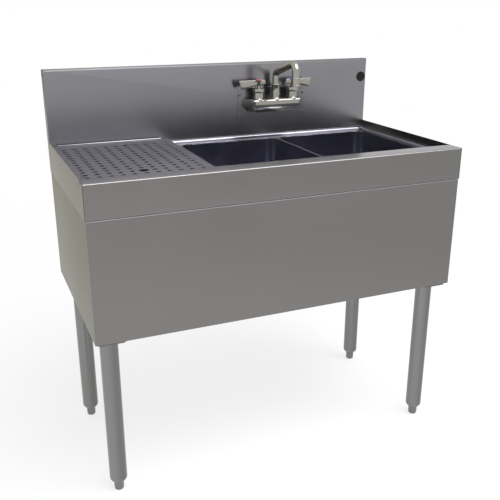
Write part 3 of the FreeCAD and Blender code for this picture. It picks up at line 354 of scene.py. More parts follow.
# painted light: the sheets, all one steel, get their own greys and tints by the way they face; the
# cool tints of the up-facing sheets stand in for cool light from above
warmTint = (1.0, 0.97, 0.935)  # red, green and blue over the grey of each metal
sideTint = (1.0, 0.985, 0.89)
coolTint = (1.0, 0.985, 1.07)
rimTint = (1.0, 0.985, 1.0)
splashTint = (1.0, 0.985, 1.05)
legTint = (1.0, 0.985, 0.97)
bowlShadeTint = (1.0, 1.0, 1.15)
chromeTint = (1.0, 0.985, 0.87)
finishes = {
    "sheetFront": metalLook(0.192, warmTint, brushed=0.5, grazingColor=(0.74, 0.735, 0.745)),
    "sheetSide": metalLook(0.228, sideTint, grazing=0.54, grainScale=alongY,
                           edgeRadius=0.1, edgeWear=0.0),
    "rimSheet": metalLook(0.228, rimTint),
    # painted highlight: a paler, rougher copy of the steel for the light line on the skirt's
    # rounded top edge
    "foldHighlightSheet": metalLook(0.40, coolTint, spread=0.06, roughness=(0.5, 0.58), edgeWear=0.0),
    "splashRoll": metalLook(0.205, rimTint, spread=0.06, grazing=0.4, roughness=(0.54, 0.62),
                            edgeWear=0.0),
    "edgeSteel": metalLook(0.10, sideTint, grazing=0.3, grainScale=alongY,
                           roughness=(0.4, 0.5), edgeRadius=0.1, edgeWear=0.0),
    # painted shade: the pan under the insert is much darker than the other steel, standing in for
    # the shade seen through the holes
    "panShadeSteel": metalLook(0.07, bowlShadeTint, grazing=0.4, grainScale=(240, 240, 240),
                          cloudScale=9.0, roughness=(0.22, 0.30), bump=0.03),
    "sheetTop": metalLook(0.215, coolTint, roughness=(0.22, 0.26)),
    "splashSheet": metalLook(0.232, splashTint, grazing=0.5, bump=0.05,
                             roughness=(0.19, 0.23), brushed=0.7, edgeRadius=0.3),
    "panelSheet": metalLook(0.215, splashTint, bump=0.05, roughness=(0.19, 0.23), brushed=0.7),
    "insertSheet": metalLook(0.28, coolTint, roughness=(0.26, 0.30), edgeRadius=0.15,
                             edgeWear=0.1),
    # painted shade: the hole walls are near black, standing in for the shade inside the holes
    "holeWallShade": metalLook(0.03, spread=0.3, grazing=0.2, grainScale=(900, 900, 900),
                             cloudScale=60.0, roughness=(0.5, 0.6), edgeRadius=0.1,
                             edgeWear=0.0, metallic=0.6),
    # painted light: the bowls' steel is paler and bluer than the deck's, so the shade inside them
    # comes out lighter and blue
    "bowlSteel": metalLook(0.46, bowlShadeTint, grainScale=(240, 240, 240), cloudScale=9.0,
                           roughness=(0.16, 0.19), bump=0.03),
    "legSteel": metalLook(0.21, legTint, grainScale=alongZ, roughness=(0.22, 0.26)),
    "footSteel": metalLook(0.19, legTint, grainScale=(60, 60, 1400),
                           roughness=(0.20, 0.28)),
    "mountSteel": metalLook(0.15, warmTint, spread=0.16, grainScale=(90, 90, 90),
                            cloudScale=30.0, roughness=(0.38, 0.5), bump=0.3),
    "drainPlate": metalLook(0.30, grainScale=(60, 60, 1400), roughness=(0.14, 0.22)),
    "nutSteel": metalLook(0.26, (1, 1, 0.95), spread=0.12, grainScale=(200, 200, 200),
                          cloudScale=40.0, roughness=(0.30, 0.42), bump=0.2),
    "tapChrome": metalLook(0.31, chromeTint, spread=0.015, grazing=0.5, grainScale=(60, 60, 60),
                           cloudScale=20.0, roughness=(0.06, 0.08), bump=0.01,
                           edgeRadius=0.4, edgeWear=0.15, metallic=0.85),
    "screwSteel": metalLook(0.16, spread=0.08, grainScale=(300, 300, 300), cloudScale=80.0,
                            roughness=(0.08, 0.14), bump=0.05, edgeRadius=0.2),
    "stemBrass": metalLook(0.40, (1.08, 1, 0.5), spread=0.1, grainScale=(60, 60, 1400),
                           cloudScale=60.0, roughness=(0.22, 0.34), bump=0.1, edgeRadius=0.3),
}
metals = {name: metalFinish(name, look) for name, look in finishes.items()}


def plasticFinish(name, look):
    material, tree = newTree(name)
    place = addNode(tree, "ShaderNodeTexCoord").outputs["Object"]
    clouds = addNode(tree, "ShaderNodeTexNoise", {"Vector": place, "Scale": look["cloudScale"],
                     "Detail": 4.0}).outputs["Fac"]
    pits = addNode(tree, "ShaderNodeTexVoronoi", {"Vector": place, "Scale": look["pitScale"]})
    color = blendColors(tree, remap(tree, clouds, 0.0, 1.0), (*look["darkColor"], 1),
                        (*look["paleColor"], 1))
    roughness = remap(tree, clouds, *look["roughness"])
    rounded = addNode(tree, "ShaderNodeBevel", {"Radius": look["edgeRadius"] * mm},
                      samples=edgeSamples)
    bump = addNode(tree, "ShaderNodeBump", {"Height": pits.outputs["Distance"],
                   "Strength": look["bump"], "Distance": 0.05 * mm,
                   "Normal": rounded.outputs[0]})
    shader = addNode(tree, "ShaderNodeBsdfPrincipled", {"Base Color": color,
                     "Roughness": roughness, "Normal": bump.outputs[0],
                     "Specular IOR Level": look["gloss"]})
    addNode(tree, "ShaderNodeOutputMaterial", {"Surface": shader.outputs[0]})
    return material


plastics = {
    "plugPlastic": plasticFinish("plugPlastic", {
        "darkColor": (0.006, 0.006, 0.005), "paleColor": (0.010, 0.010, 0.008),
        "cloudScale": 90.0, "pitScale": 2600.0, "roughness": (0.42, 0.55), "bump": 0.2,
        "edgeRadius": 0.4, "gloss": 0.15}),
    "gasketRubber": plasticFinish("gasketRubber", {
        "darkColor": (0.014, 0.014, 0.015), "paleColor": (0.03, 0.03, 0.03),
        "cloudScale": 60.0, "pitScale": 1500.0, "roughness": (0.6, 0.75), "bump": 0.4,
        "edgeRadius": 0.4, "gloss": 0.4}),
    "redCap": plasticFinish("redCap", {
        "darkColor": (0.42, 0.025, 0.03), "paleColor": (0.48, 0.03, 0.036),
        "cloudScale": 120.0, "pitScale": 2600.0, "roughness": (0.3, 0.38), "bump": 0.05,
        "edgeRadius": 0.3, "gloss": 0.35}),
    "blueCap": plasticFinish("blueCap", {
        "darkColor": (0.03, 0.10, 0.45), "paleColor": (0.04, 0.12, 0.52),
        "cloudScale": 120.0, "pitScale": 2600.0, "roughness": (0.3, 0.38), "bump": 0.05,
        "edgeRadius": 0.3, "gloss": 0.35}),
}


bandScale = 0.31416  # gives one band for each metre, so it is divided by the pitch


def threadedFinish(name, look, axis, pitch):  # a fine screw thread drawn by bands along one axis
    material = metalFinish(name, look)
    tree = material.node_tree
    place = addNode(tree, "ShaderNodeTexCoord").outputs["Object"]
    bands = addNode(tree, "ShaderNodeTexWave", {"Vector": place, "Scale": bandScale / (pitch * mm)},
                    bands_direction=axis)
    fineBump = firstNode(tree, "ShaderNodeBump")
    shader = firstNode(tree, "ShaderNodeBsdfPrincipled")
    thread = addNode(tree, "ShaderNodeBump", {"Height": bands.outputs["Fac"], "Strength": 0.9,
                     "Distance": 0.4 * mm, "Normal": fineBump.outputs[0]})
    tree.links.new(thread.outputs[0], shader.inputs["Normal"])
    return material


def paintReflectionBands(material, bands):  # painted reflection: round tubes get faint bands of tone by the way their surface faces, standing in for the room mirrored in them
    tree = material.node_tree
    normal = addNode(tree, "ShaderNodeNewGeometry").outputs["Normal"]
    wave = addNode(tree, "ShaderNodeTexWave", {"Vector": normal, "Scale": bands["scale"],
                   "Phase Offset": bands["phase"]}, bands_direction="X").outputs["Fac"]
    shader = firstNode(tree, "ShaderNodeBsdfPrincipled")
    color = shader.inputs["Base Color"].links[0].from_socket
    shade = addNode(tree, "ShaderNodeVectorMath", {0: color, "Scale": remap(
                    tree, wave, bands["dark"], bands["light"], 0.0, 1.0)}, operation="SCALE")
    tree.links.new(shade.outputs["Vector"], shader.inputs["Base Color"])


tubeReflectionBands = {"scale": 0.143, "phase": 5.09, "dark": 0.76, "light": 1.04}
paintReflectionBands(metals["legSteel"], tubeReflectionBands)
threadPitch = {"drain": 2.2, "shank": 1.8}
metals["drainThread"] = threadedFinish("drainThread", finishes["drainPlate"], "Z",
                                       threadPitch["drain"])
metals["shankThread"] = threadedFinish("shankThread", finishes["stemBrass"], "Y",
                                       threadPitch["shank"])
print("finishes made")

nodeFinishes = {
    "sheetFront": ["front_apron", "front_skirt", "rear_rail", "rear_stretcher"],
    "sheetSide": ["end_plate_left", "end_plate_right", "skirt_left", "skirt_right"],
    "sheetTop": ["deck"],
    "splashSheet": ["backsplash"],
    "panelSheet": ["tap_access_panel"],
    "insertSheet": ["drainboard_insert"],
    "bowlSteel": ["bowl_left", "bowl_right"],
    "panShadeSteel": ["drainboard_pan"],
    "legSteel": [name for name in nodes if name.startswith("leg_")],
    "footSteel": [name for name in nodes if name.startswith("foot_")],
    "mountSteel": [name for name in nodes if name.startswith("leg_mount_")],
    "drainThread": ["drain_left", "drain_right", "pan_drain"],
    "drainPlate": ["strainer_left", "strainer_right"],
    "nutSteel": [name for name in nodes if name.endswith("_locknut")] + ["shank_locknuts"],
    "tapChrome": ["tap_body", "bonnet_hot", "bonnet_cold", "handle_hot", "handle_cold", "spout",
                  "spout_nut", "aerator"],
    "screwSteel": ["panel_screws", "leg_set_screws"],
    "stemBrass": ["valve_stem_hot", "valve_stem_cold"],
    "shankThread": ["supply_shank_hot", "supply_shank_cold"],
    "gasketRubber": [name for name in nodes if "gasket" in name],
    "plugPlastic": ["splash_plug"],
    "redCap": ["index_cap_hot"],
    "blueCap": ["index_cap_cold"],
}
allFinishes = {**metals, **plastics}
for finish, names in nodeFinishes.items():
    for name in names:
        for place in nodes[name].material_slots:
            place.material = allFinishes[finish]
print("CAD nodes finished")

# tap body: a cast bar that narrows to the wall and to its nose

tapBody = {"noseWidth": 138, "noseHeight": 33, "valveWidth": 150, "valveHeight": 36,
           "wallWidth": 180, "wallHeight": 30, "keel": 13, "shoulder": 5, "corner": 5,
           "round": 1.4,
           "boss": [(13.9, -6), (13.9, -0.4), (13.3, 0.5), (12.8, 1.6), (12.5, 2.4), (12.5, 2.8),
                    (12.1, 3)],
           "post": [(13.9, -6), (13.6, -0.6), (12.4, 0.6), (11.4, 2.4), (11, 5), (11, 9)]}


def buildTapBody():
    low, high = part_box("tap_body")
    middle = centreOf("tap_body")
    valveY = centreOf("valve_stem_hot")[1]
    axisZ = centreOf("tap_access_panel")[2]
    halfWidth = tapBody["valveWidth"] / 2 * mm
    halfHeight = tapBody["valveHeight"] / 2 * mm
    startBlock((middle[0] - halfWidth, low[1], axisZ - halfHeight),
               (middle[0] + halfWidth, valveY, axisZ + halfHeight))
    pick("FACE", facing("y", -1))
    resizeAbout((middle[0], low[1], axisZ), (tapBody["noseWidth"] / tapBody["valveWidth"], 1,
                tapBody["noseHeight"] / tapBody["valveHeight"]))
    pick("FACE", facing("y", 1))
    pushOut((0, high[1] - valveY, 0))
    resizeAbout((middle[0], high[1], axisZ), (tapBody["wallWidth"] / tapBody["valveWidth"], 1,
                tapBody["wallHeight"] / tapBody["valveHeight"]))

    onNose = lyingAt(y=low[1])

    def isOuterCorner(a, b, side):  # long edges and the nose's edge, above or below the middle
        onSide = side * (a.z - axisZ) > 0 and side * (b.z - axisZ) > 0
        alongDepth = abs(a.x - b.x) < 20 * mm and abs(a.y - b.y) > 5 * mm
        acrossNose = abs(a.x - b.x) > 50 * mm and onNose(a, b)
        return onSide and (alongDepth or acrossNose)

    roundEdges(tapBody["keel"], 1, lambda a, b: isOuterCorner(a, b, -1))
    roundEdges(tapBody["shoulder"], 7, lambda a, b: isOuterCorner(a, b, 1))
    roundEdges(tapBody["corner"], 5, lambda a, b: abs(a.z - b.z) > 8 * mm and onNose(a, b))
    pieces = [softenEdges(closeShape(), tapBody["round"], angle=35)]
    for valve in ("valve_stem_hot", "valve_stem_cold"):
        x, y, _ = centreOf(valve)
        pieces.append(layAt(turnOnLathe(tapBody["boss"]), (x, y, axisZ + halfHeight)))
    post = turnOnLathe(tapBody["post"])
    pieces.append(layAt(post, (middle[0], valveY, axisZ + halfHeight)))
    body = smoothOver(joinUp(pieces))
    dress(body, "tapCasting", metals["tapChrome"], "sink_frame", ["tap_body"])


buildTapBody()

# bonnets: a bell neck under a wide hexagon nut

bonnet = {"neck": [(14.6, 0), (14.1, 1.0), (13.8, 2.6), (13.7, 14)],
          "nutFoot": 13.6, "nutTop": 25, "nutRadius": 16.3, "nutRound": 1.5,
          "edgeWidth": 2.2, "slopeWidth": 4.5, "slopeDrop": 0.9}


def buildBonnets():
    neck = turnOnLathe(bonnet["neck"])
    startPiece(bpy.ops.mesh.primitive_cylinder_add, vertices=6, radius=bonnet["nutRadius"] * mm,
               depth=(bonnet["nutTop"] - bonnet["nutFoot"]) * mm,
               location=(0, 0, (bonnet["nutTop"] + bonnet["nutFoot"]) / 2 * mm))
    pick("FACE", facing("z", 1))
    bpy.ops.mesh.inset(thickness=bonnet["edgeWidth"] * mm, depth=0)
    bpy.ops.mesh.inset(thickness=bonnet["slopeWidth"] * mm, depth=-bonnet["slopeDrop"] * mm)
    nut = softenEdges(closeShape(), bonnet["nutRound"])
    first = smoothOver(joinUp([neck, nut]))
    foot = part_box("bonnet_hot")[0][2]
    hotX, valveY, _ = centreOf("bonnet_hot")
    coldX = centreOf("bonnet_cold")[0]
    second = copyOf(first, (coldX, valveY, foot))
    layAt(first, (hotX, valveY, foot))
    dress(first, "bonnetHot", metals["tapChrome"], "sink_frame", ["bonnet_hot"])
    dress(second, "bonnetCold", metals["tapChrome"], "sink_frame", ["bonnet_cold"])


buildBonnets()

# wrist-blade handles: an upright blade through a slim hub, with a short tail

blade = {"hub": 5.0, "thick": 3.4, "rootHeight": 14.0, "tipHeight": 23.8, "tipSlope": 7.0,
         "tipThin": 0.8, "tipRound": 1.6, "tipLong": 9, "tailHeight": 12, "tailThin": 0.9,
         "tailRound": 3.0, "round": 0.8,
         "hubFoot": [(4.4, 0.3), (5.0, 1.1)],
         "hubTop": [(5.0, -2.5), (5.6, -1.6), (5.6, -0.3), (5.2, 0)]}
indexCap = {"rings": [(8.6, 0), (9.0, 0.3), (9.0, 0.9), (8.6, 1.3), (6.5, 1.5), (3.0, 1.55)]}


def buildHandles():
    low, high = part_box("handle_cold")
    valveX, valveY, _ = centreOf("index_cap_cold")
    reach = high[0] - valveX
    tail = valveX - low[0]
    top = high[2]
    hub = blade["hub"] * mm
    halfThick = blade["thick"] / 2 * mm
    startBlock((-hub, -halfThick, top - blade["rootHeight"] * mm), (hub, halfThick, top))
    pick("FACE", facing("x", 1))
    pushOut((reach - hub, 0, 0))
    resizeAbout((reach, 0, top), (1, blade["tipThin"], blade["tipHeight"] / blade["rootHeight"]))
    pick("VERT", lambda spot: spot.x > reach - touch and spot.z < top - touch)
    bpy.ops.transform.translate(value=(-blade["tipSlope"] * mm, 0, 0))
    pick("FACE", facing("x", -1))
    pushOut((hub - tail, 0, 0))
    resizeAbout((-tail, 0, top), (1, blade["tailThin"],
                blade["tailHeight"] / blade["rootHeight"]))
    # the edges across the blade at its tip, then those at its tail
    roundEdges(blade["tipRound"], 4, lambda a, b: abs(a.y - b.y) > 1 * mm and
               (a.x + b.x) / 2 > reach - blade["tipLong"] * mm)
    roundEdges(blade["tailRound"], 5, lambda a, b: abs(a.y - b.y) > 1 * mm and
               (a.x + b.x) / 2 < touch - tail)
    arm = softenEdges(closeShape(), blade["round"], angle=40)
    nutTop = (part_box("bonnet_cold")[1][2] - top) / mm
    core = turnOnLathe([(radius, nutTop + height) for radius, height in blade["hubFoot"]] +
                       blade["hubTop"])
    core = layAt(core, (0, 0, top))
    cold = smoothOver(joinUp([arm, core]))
    hot = copyOf(cold)
    hotX = centreOf("index_cap_hot")[0]
    layAt(cold, (valveX, valveY, 0))
    layAt(hot, (hotX, valveY, 0), (0, 0, 180))
    dress(cold, "bladeCold", metals["tapChrome"], "handle_cold", ["handle_cold"])
    dress(hot, "bladeHot", metals["tapChrome"], "handle_hot", ["handle_hot"])
    for name, side, finish, slot in (("Hot", "hot", "redCap", "red_plastic"),
                                     ("Cold", "cold", "blueCap", "blue_plastic")):
        x, y, _ = centreOf(f"index_cap_{side}")
        cap = layAt(turnOnLathe(indexCap["rings"]), (x, y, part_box(f"index_cap_{side}")[0][2]))
        smoothOver(cap, 60)
        dress(cap, f"indexCap{name}", plastics[finish], f"handle_{side}",
              [f"index_cap_{side}"])


buildHandles()

# spout: a bent tube that thickens towards its outlet

spoutTube = {"armRadius": 8.6, "dropRadius": 10.4, "sides": 40, "elbowCorner": 913,
             "crownCorner": 950.5, "elbowBend": 11, "crownBend": 18.5, "elbowSteps": 8,
             "crownSteps": 16, "inOutlet": 3}


def buildSpout():
    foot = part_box("spout")[0][2]
    x, valveY, _ = centreOf("spout_nut")
    outletY = centreOf("aerator")[1]
    arm = spoutTube["armRadius"] * mm
    drop = spoutTube["dropRadius"] * mm
    elbowZ = spoutTube["elbowCorner"] * mm
    crownZ = spoutTube["crownCorner"] * mm
    elbowBend = spoutTube["elbowBend"] * mm
    crownBend = spoutTube["crownBend"] * mm
    climb = math.atan2(crownZ - elbowZ, valveY - outletY)
    riserTop = elbowZ - elbowBend * math.tan((math.pi / 2 - climb) / 2)
    crownMiddle = crownZ - crownBend * math.tan((math.pi / 2 + climb) / 2)
    startPiece(bpy.ops.mesh.primitive_circle_add, vertices=spoutTube["sides"], radius=arm,
               fill_type="NGON", location=(x, valveY, foot))
    pick("FACE", everyFace)
    pushOut((0, 0, riserTop - foot))
    bpy.ops.mesh.spin(steps=spoutTube["elbowSteps"], angle=math.pi / 2 - climb,
                      center=(x, valveY - elbowBend, riserTop), axis=(-1, 0, 0))
    elbowOut = (valveY - elbowBend + elbowBend * math.sin(climb),
                riserTop + elbowBend * math.cos(climb))
    crownIn = (outletY + crownBend + crownBend * math.sin(climb),
               crownMiddle + crownBend * math.cos(climb))
    pushOut((0, crownIn[0] - elbowOut[0], crownIn[1] - elbowOut[1]))
    # the crown widens a little with each step of its bend
    turn = (math.pi / 2 + climb) / spoutTube["crownSteps"]
    radius = arm
    for step in range(1, spoutTube["crownSteps"] + 1):
        bpy.ops.mesh.spin(steps=1, angle=turn, center=(x, outletY + crownBend, crownMiddle),
                          axis=(-1, 0, 0))
        angle = math.pi / 2 - climb + turn * step
        nextRadius = arm + (drop - arm) * step / spoutTube["crownSteps"]
        grow = nextRadius / radius
        radius = nextRadius
        resizeAbout((x, outletY + crownBend + crownBend * math.cos(angle),
                     crownMiddle + crownBend * math.sin(angle)), (grow, grow, grow))
    pushOut((0, 0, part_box("aerator")[1][2] - spoutTube["inOutlet"] * mm - crownMiddle))
    tube = smoothOver(closeShape(), 50)
    dress(tube, "spoutTube", metals["tapChrome"], "spout", ["spout"])


buildSpout()

# spout nut and outlet

spoutNut = {"rings": [(12.4, 0), (12.4, 4.6), (11.9, 5.6), (11.8, 6.4), (11.8, 26.4),
                      (12.0, 27), (12.0, 29), (11.2, 30)], "smooth": 40}
outlet = {"rings": [(7.0, 0.8), (8.6, 0.8), (9.2, 0), (10.1, 0.2), (10.6, 0.9), (10.6, 3.4),
                    (10.3, 3.8), (10.3, 4.2), (10.6, 4.6), (10.6, 21.4), (10.2, 22)],
          "smooth": 30}


def buildTurned(node, name, body, look):
    x, y, _ = centreOf(node)
    turned = layAt(turnOnLathe(look["rings"]), (x, y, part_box(node)[0][2]))
    dress(smoothOver(turned, look["smooth"]), name, metals["tapChrome"], body,
          [node])


buildTurned("spout_nut", "spoutNut", "sink_frame", spoutNut)
buildTurned("aerator", "outletRing", "spout", outlet)
print("tap built")

# panel screws with cross slots

panelScrew = {"head": [(3.4, 0), (3.6, 0.3), (3.5, 1.0), (2.9, 1.8), (1.7, 2.3)],
              "shank": [(1.2, -8.6), (1.65, -8), (1.65, 0)], "sides": 32,
              "slotLong": 4.6, "slotWide": 1.1, "slotDeep": 0.8}


def buildScrews():
    low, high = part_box("panel_screws")
    headZ = panelScrew["head"][-1][1]
    head = turnOnLathe(panelScrew["shank"] + panelScrew["head"], panelScrew["sides"])
    long = panelScrew["slotLong"] / 2 * mm
    wide = panelScrew["slotWide"] / 2 * mm
    for spin in (0, 90):
        startBlock((-long, -wide, (headZ - panelScrew["slotDeep"]) * mm),
                   (long, wide, (headZ + 1) * mm))
        cutAway(head, layAt(closeShape(), (0, 0, 0), (0, 0, spin)))
    layAt(head, (0, 0, 0), (90, 0, 0))
    rim = panelScrew["head"][1][0] * mm
    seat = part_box("tap_access_panel")[0][1]
    screws = []
    for across in (low[0] + rim, high[0] - rim):
        for up in (low[2] + rim, high[2] - rim):
            screws.append(copyOf(head, (across, seat, up)))
    bpy.data.objects.remove(head)
    dress(smoothOver(joinUp(screws), 35), "panelScrewSet", metals["screwSteel"], "sink_frame",
          ["panel_screws"])


buildScrews()

# hole plug with a stepped rim and a shallow dome

holePlug = {"rings": [(12.4, -5.4), (12.6, -4.8), (12.6, 0), (13.6, 0), (14.0, 0.35),
                      (13.8, 0.9), (12.6, 1.2), (11.2, 1.15), (10.6, 0.85), (9.6, 0.9),
                      (6.0, 1.35), (2.5, 1.5)], "sides": 56}


def buildPlug():
    x, _, z = centreOf("splash_plug")
    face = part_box("backsplash")[0][1]
    plug = layAt(turnOnLathe(holePlug["rings"], holePlug["sides"]), (0, 0, 0), (90, 0, 0))
    smoothOver(layAt(plug, (x, face, z)), 40)
    dress(plug, "holePlug", plastics["plugPlastic"], "sink_frame",
          ["splash_plug"])


buildPlug()

# leg collars and levelling feet, turned with round shoulders

legEnd = {"collar": [(12.5, 25), (13.9, 25), (15.4, 25.6), (17.3, 27.0), (18.8, 28.9),
                     (19.9, 31.3), (20.5, 33.6), (20.65, 34.95), (18.9, 34.95), (18.9, 70.6),
                     (18.5, 71)],
          "foot": [(8.2, 0), (9.4, 0.35), (10.5, 1.3), (11.1, 2.8), (11.3, 4.6), (12.0, 23),
                   (12.0, 61.4), (11.4, 62)],
          "bore": 12.35, "boreFoot": 10, "boreTop": 90, "sides": 48}


def buildLegEnds():
    collar = turnOnLathe(legEnd["collar"], legEnd["sides"])
    low, high = legEnd["boreFoot"] * mm, legEnd["boreTop"] * mm
    startPiece(bpy.ops.mesh.primitive_cylinder_add, vertices=legEnd["sides"],
               radius=legEnd["bore"] * mm, depth=high - low, location=(0, 0, (low + high) / 2))
    collar = smoothOver(cutAway(collar, closeShape()), 45)
    foot = smoothOver(turnOnLathe(legEnd["foot"], legEnd["sides"]), 45)
    for end in ("front", "rear"):
        for side in ("left", "right"):
            x, y, _ = centreOf(f"foot_{end}_{side}")
            name = end.capitalize() + side.capitalize()
            dress(copyOf(collar, (x, y, 0)), f"legCollar{name}", metals["legSteel"],
                  "sink_frame", [f"leg_collar_{end}_{side}"])
            dress(copyOf(foot, (x, y, 0)), f"levelFoot{name}", metals["footSteel"],
                  f"foot_{end}_{side}", [f"foot_{end}_{side}"])
    bpy.data.objects.remove(collar)
    bpy.data.objects.remove(foot)


buildLegEnds()
print("small fittings built")

# folded sheets: the bends that show as lines between apron, skirt and ends

folds = {"apronFoot": 0.6, "gap": 1.0, "sideGap": 0.5, "skirtTop": 2.4, "skirtFoot": 1.2,
         "endFoot": 0.6, "sideTop": 0.8, "splashTop": 5.0, "rollDeep": 6.0, "slitBack": 33.5,
         "slitWide": 3.0, "slitDeep": 11.5, "cutterReach": 4, "cutterRise": 10}


def lowerTop(top, gap):
    pick("VERT", lambda spot: spot.z > top - touch)
    bpy.ops.transform.translate(value=(0, 0, -gap))


def buildFoldedSheets():
    face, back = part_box("front_apron")
    copyOfNode("front_apron")
    roundEdges(folds["apronFoot"], 4, lyingAt(y=face[1], z=face[2]))
    apron = dress(smoothOver(closeShape()), "apronFold", metals["sheetFront"], "sink_frame",
                  ["front_apron"])
    # painted light: the apron's up-facing top faces take a lighter, cooler copy of its steel
    paintFaces(apron, metals["rimSheet"], lambda spot, normal: normal.z > 0.99 and
               spot.z > back[2] - 1 * mm)
    low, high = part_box("front_skirt")
    copyOfNode("front_skirt")
    gap = folds["gap"] * mm  # a shadow gap under the apron, over a rounded edge
    lowerTop(high[2], gap)
    roundEdges(folds["skirtTop"], 4, lyingAt(y=low[1], z=high[2] - gap))
    roundEdges(folds["skirtFoot"], 5, lyingAt(y=low[1], z=low[2]))
    skirt = dress(smoothOver(closeShape()), "skirtFold", metals["sheetFront"], "sink_frame",
                  ["front_skirt"])
    # painted highlight: the skirt's rounded top edge takes a paler copy of the steel, standing in
    # for the light line under the seam
    paintFaces(skirt, metals["foldHighlightSheet"], lambda spot, normal: normal.z > 0.05 and
               normal.y < -0.2 and spot.z > high[2] - gap - folds["skirtTop"] * mm)
    for side, edge in (("left", 0), ("right", 1)):
        for part, top, foot in (("skirt", folds["sideTop"], folds["skirtFoot"]),
                                ("end_plate", 0, folds["endFoot"])):
            name = f"{part}_{side}"
            low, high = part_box(name)
            outer = (low, high)[edge][0]
            copyOfNode(name)
            if top:
                gap = folds["sideGap"] * mm
                lowerTop(high[2], gap)
                roundEdges(top, 3, lyingAt(x=outer, z=high[2] - gap))
            roundEdges(foot, 4, lyingAt(x=outer, z=low[2]))
            sheet = closeShape()
            if part == "end_plate":
                # a slit in the plate's edge where the apron's return ends
                y = low[1] + folds["slitBack"] * mm
                half = folds["slitWide"] / 2 * mm
                reach = folds["cutterReach"] * mm
                startBlock((outer - reach, y - half, back[2] - folds["slitDeep"] * mm),
                           (outer + reach, y + half, back[2] + folds["cutterRise"] * mm))
                cutAway(sheet, closeShape())
            title = {"skirt": "sideSkirt", "end_plate": "endPlate"}[part] + side.capitalize()
            dress(smoothOver(sheet), title, metals["sheetSide"], "sink_frame",
                  [name])
            # painted shade: the sheet's edge faces take a darker, rougher copy of the steel, so
            # they don't catch light
            paintFaces(sheet, metals["edgeSteel"], lambda spot, normal: abs(normal.x) < 0.3)
    low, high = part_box("backsplash")
    copyOfNode("backsplash")
    roundEdges(folds["splashTop"], 6, lyingAt(y=low[1], z=high[2]))
    splash = dress(smoothOver(closeShape()), "splashFold", metals["splashSheet"], "sink_frame",
                   ["backsplash"])
    paintFaces(splash, metals["splashRoll"], lambda spot, normal: normal.z > 0.05 and
               spot.z > high[2] - folds["rollDeep"] * mm)


buildFoldedSheets()

# insert: its back edge turns up in a narrow lip between the two corner notches

insertPlate = {"sideClear": 14, "endClear": 20, "skin": 1.6, "rolled": 0.85}
insertLip = {"sideInset": 15.5, "run": 3.0, "rise": 1.9, "behind": 3.6, "thick": 1.1,
             "root": 4, "round": 0.25, "steps": 5}


def buildInsertPlate():
    low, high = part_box("drainboard_insert")
    plate = copyOfNode("drainboard_insert", clean=False)

    def insideField(spot):
        return (low[0] + insertPlate["sideClear"] * mm < spot.x <
                high[0] - insertPlate["sideClear"] * mm and
                low[1] + insertPlate["endClear"] * mm < spot.y <
                high[1] - insertPlate["endClear"] * mm and
                spot.z > high[2] - insertPlate["skin"] * mm)

    def isHoleWall(spot, normal):
        return insideField(spot) and -0.3 < normal.z < 0.95

    # every hole's rim: edges between the flat top and the hole's wall
    mesh = bmesh.from_edit_mesh(plate.data)
    mesh.normal_update()
    rims = [edge for edge in mesh.edges if len(edge.link_faces) == 2 and
            insideField(edge.verts[0].co) and insideField(edge.verts[1].co) and
            max(face.normal.z for face in edge.link_faces) > 0.99 and
            abs(min(face.normal.z for face in edge.link_faces)) < 0.1]
    bpy.ops.mesh.select_mode(type="EDGE")
    bpy.ops.mesh.select_all(action="DESELECT")
    for edge in rims:
        edge.select_set(True)
    bmesh.update_edit_mesh(plate.data)
    bpy.ops.mesh.bevel(offset=insertPlate["rolled"] * mm, segments=1, affect="EDGES")
    plate = dress(closeShape(), "insertPlate", metals["insertSheet"], "drainboard_insert",
                  ["drainboard_insert"])
    # painted shade: the walls of the holes take a near-black copy of the steel, for the shade
    # inside them
    paintFaces(plate, metals["holeWallShade"], isHoleWall)


def buildInsertLip():
    low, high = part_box("drainboard_insert")
    left = low[0] + insertLip["sideInset"] * mm
    right = high[0] - insertLip["sideInset"] * mm
    back = high[1] - insertLip["behind"] * mm
    start = back - insertLip["run"] * mm
    startBlock((left, start - insertLip["root"] * mm, high[2] - insertLip["thick"] * mm),
               (right, start, high[2]))
    pick("FACE", facing("y", 1))
    steps = insertLip["steps"]
    for step in range(1, steps + 1):  # the strip follows a quarter of an ellipse
        angle = math.pi / 2 * step / steps
        before = math.pi / 2 * (step - 1) / steps
        pushOut((0, (math.sin(angle) - math.sin(before)) * insertLip["run"] * mm,
                 (math.cos(before) - math.cos(angle)) * insertLip["rise"] * mm))
    lip = smoothOver(softenEdges(closeShape(), insertLip["round"], 2, 60), 50)
    dress(lip, "insertLip", metals["insertSheet"], "drainboard_insert")


buildInsertPlate()
buildInsertLip()
print("sheets folded")

# floor, light and camera

studio = {"floorRadius": 60, "discRadius": 6, "floorDrop": 0.0005, "floorSides": 96,
          "shadowPart": 0.24, "floorGlow": 0.76, "spreadLevel": 0.55, "fadeStart": 0.9,
          "fadeEnd": 2.6, "mirrorLeft": 1.12, "mirrorRight": 0.95, "leftX": -0.5, "rightX": 0.9}


def rayKinds(tree):  # rays from the camera, and rays from mirror-like surfaces
    path = addNode(tree, "ShaderNodeLightPath").outputs
    mirrored = addNode(tree, "ShaderNodeMath", {0: path["Is Glossy Ray"],
                       1: path["Is Transmission Ray"]}, operation="MAXIMUM").outputs[0]
    seen = addNode(tree, "ShaderNodeMath", {0: path["Is Camera Ray"], 1: mirrored},
                   operation="MAXIMUM").outputs[0]
    return seen, mirrored


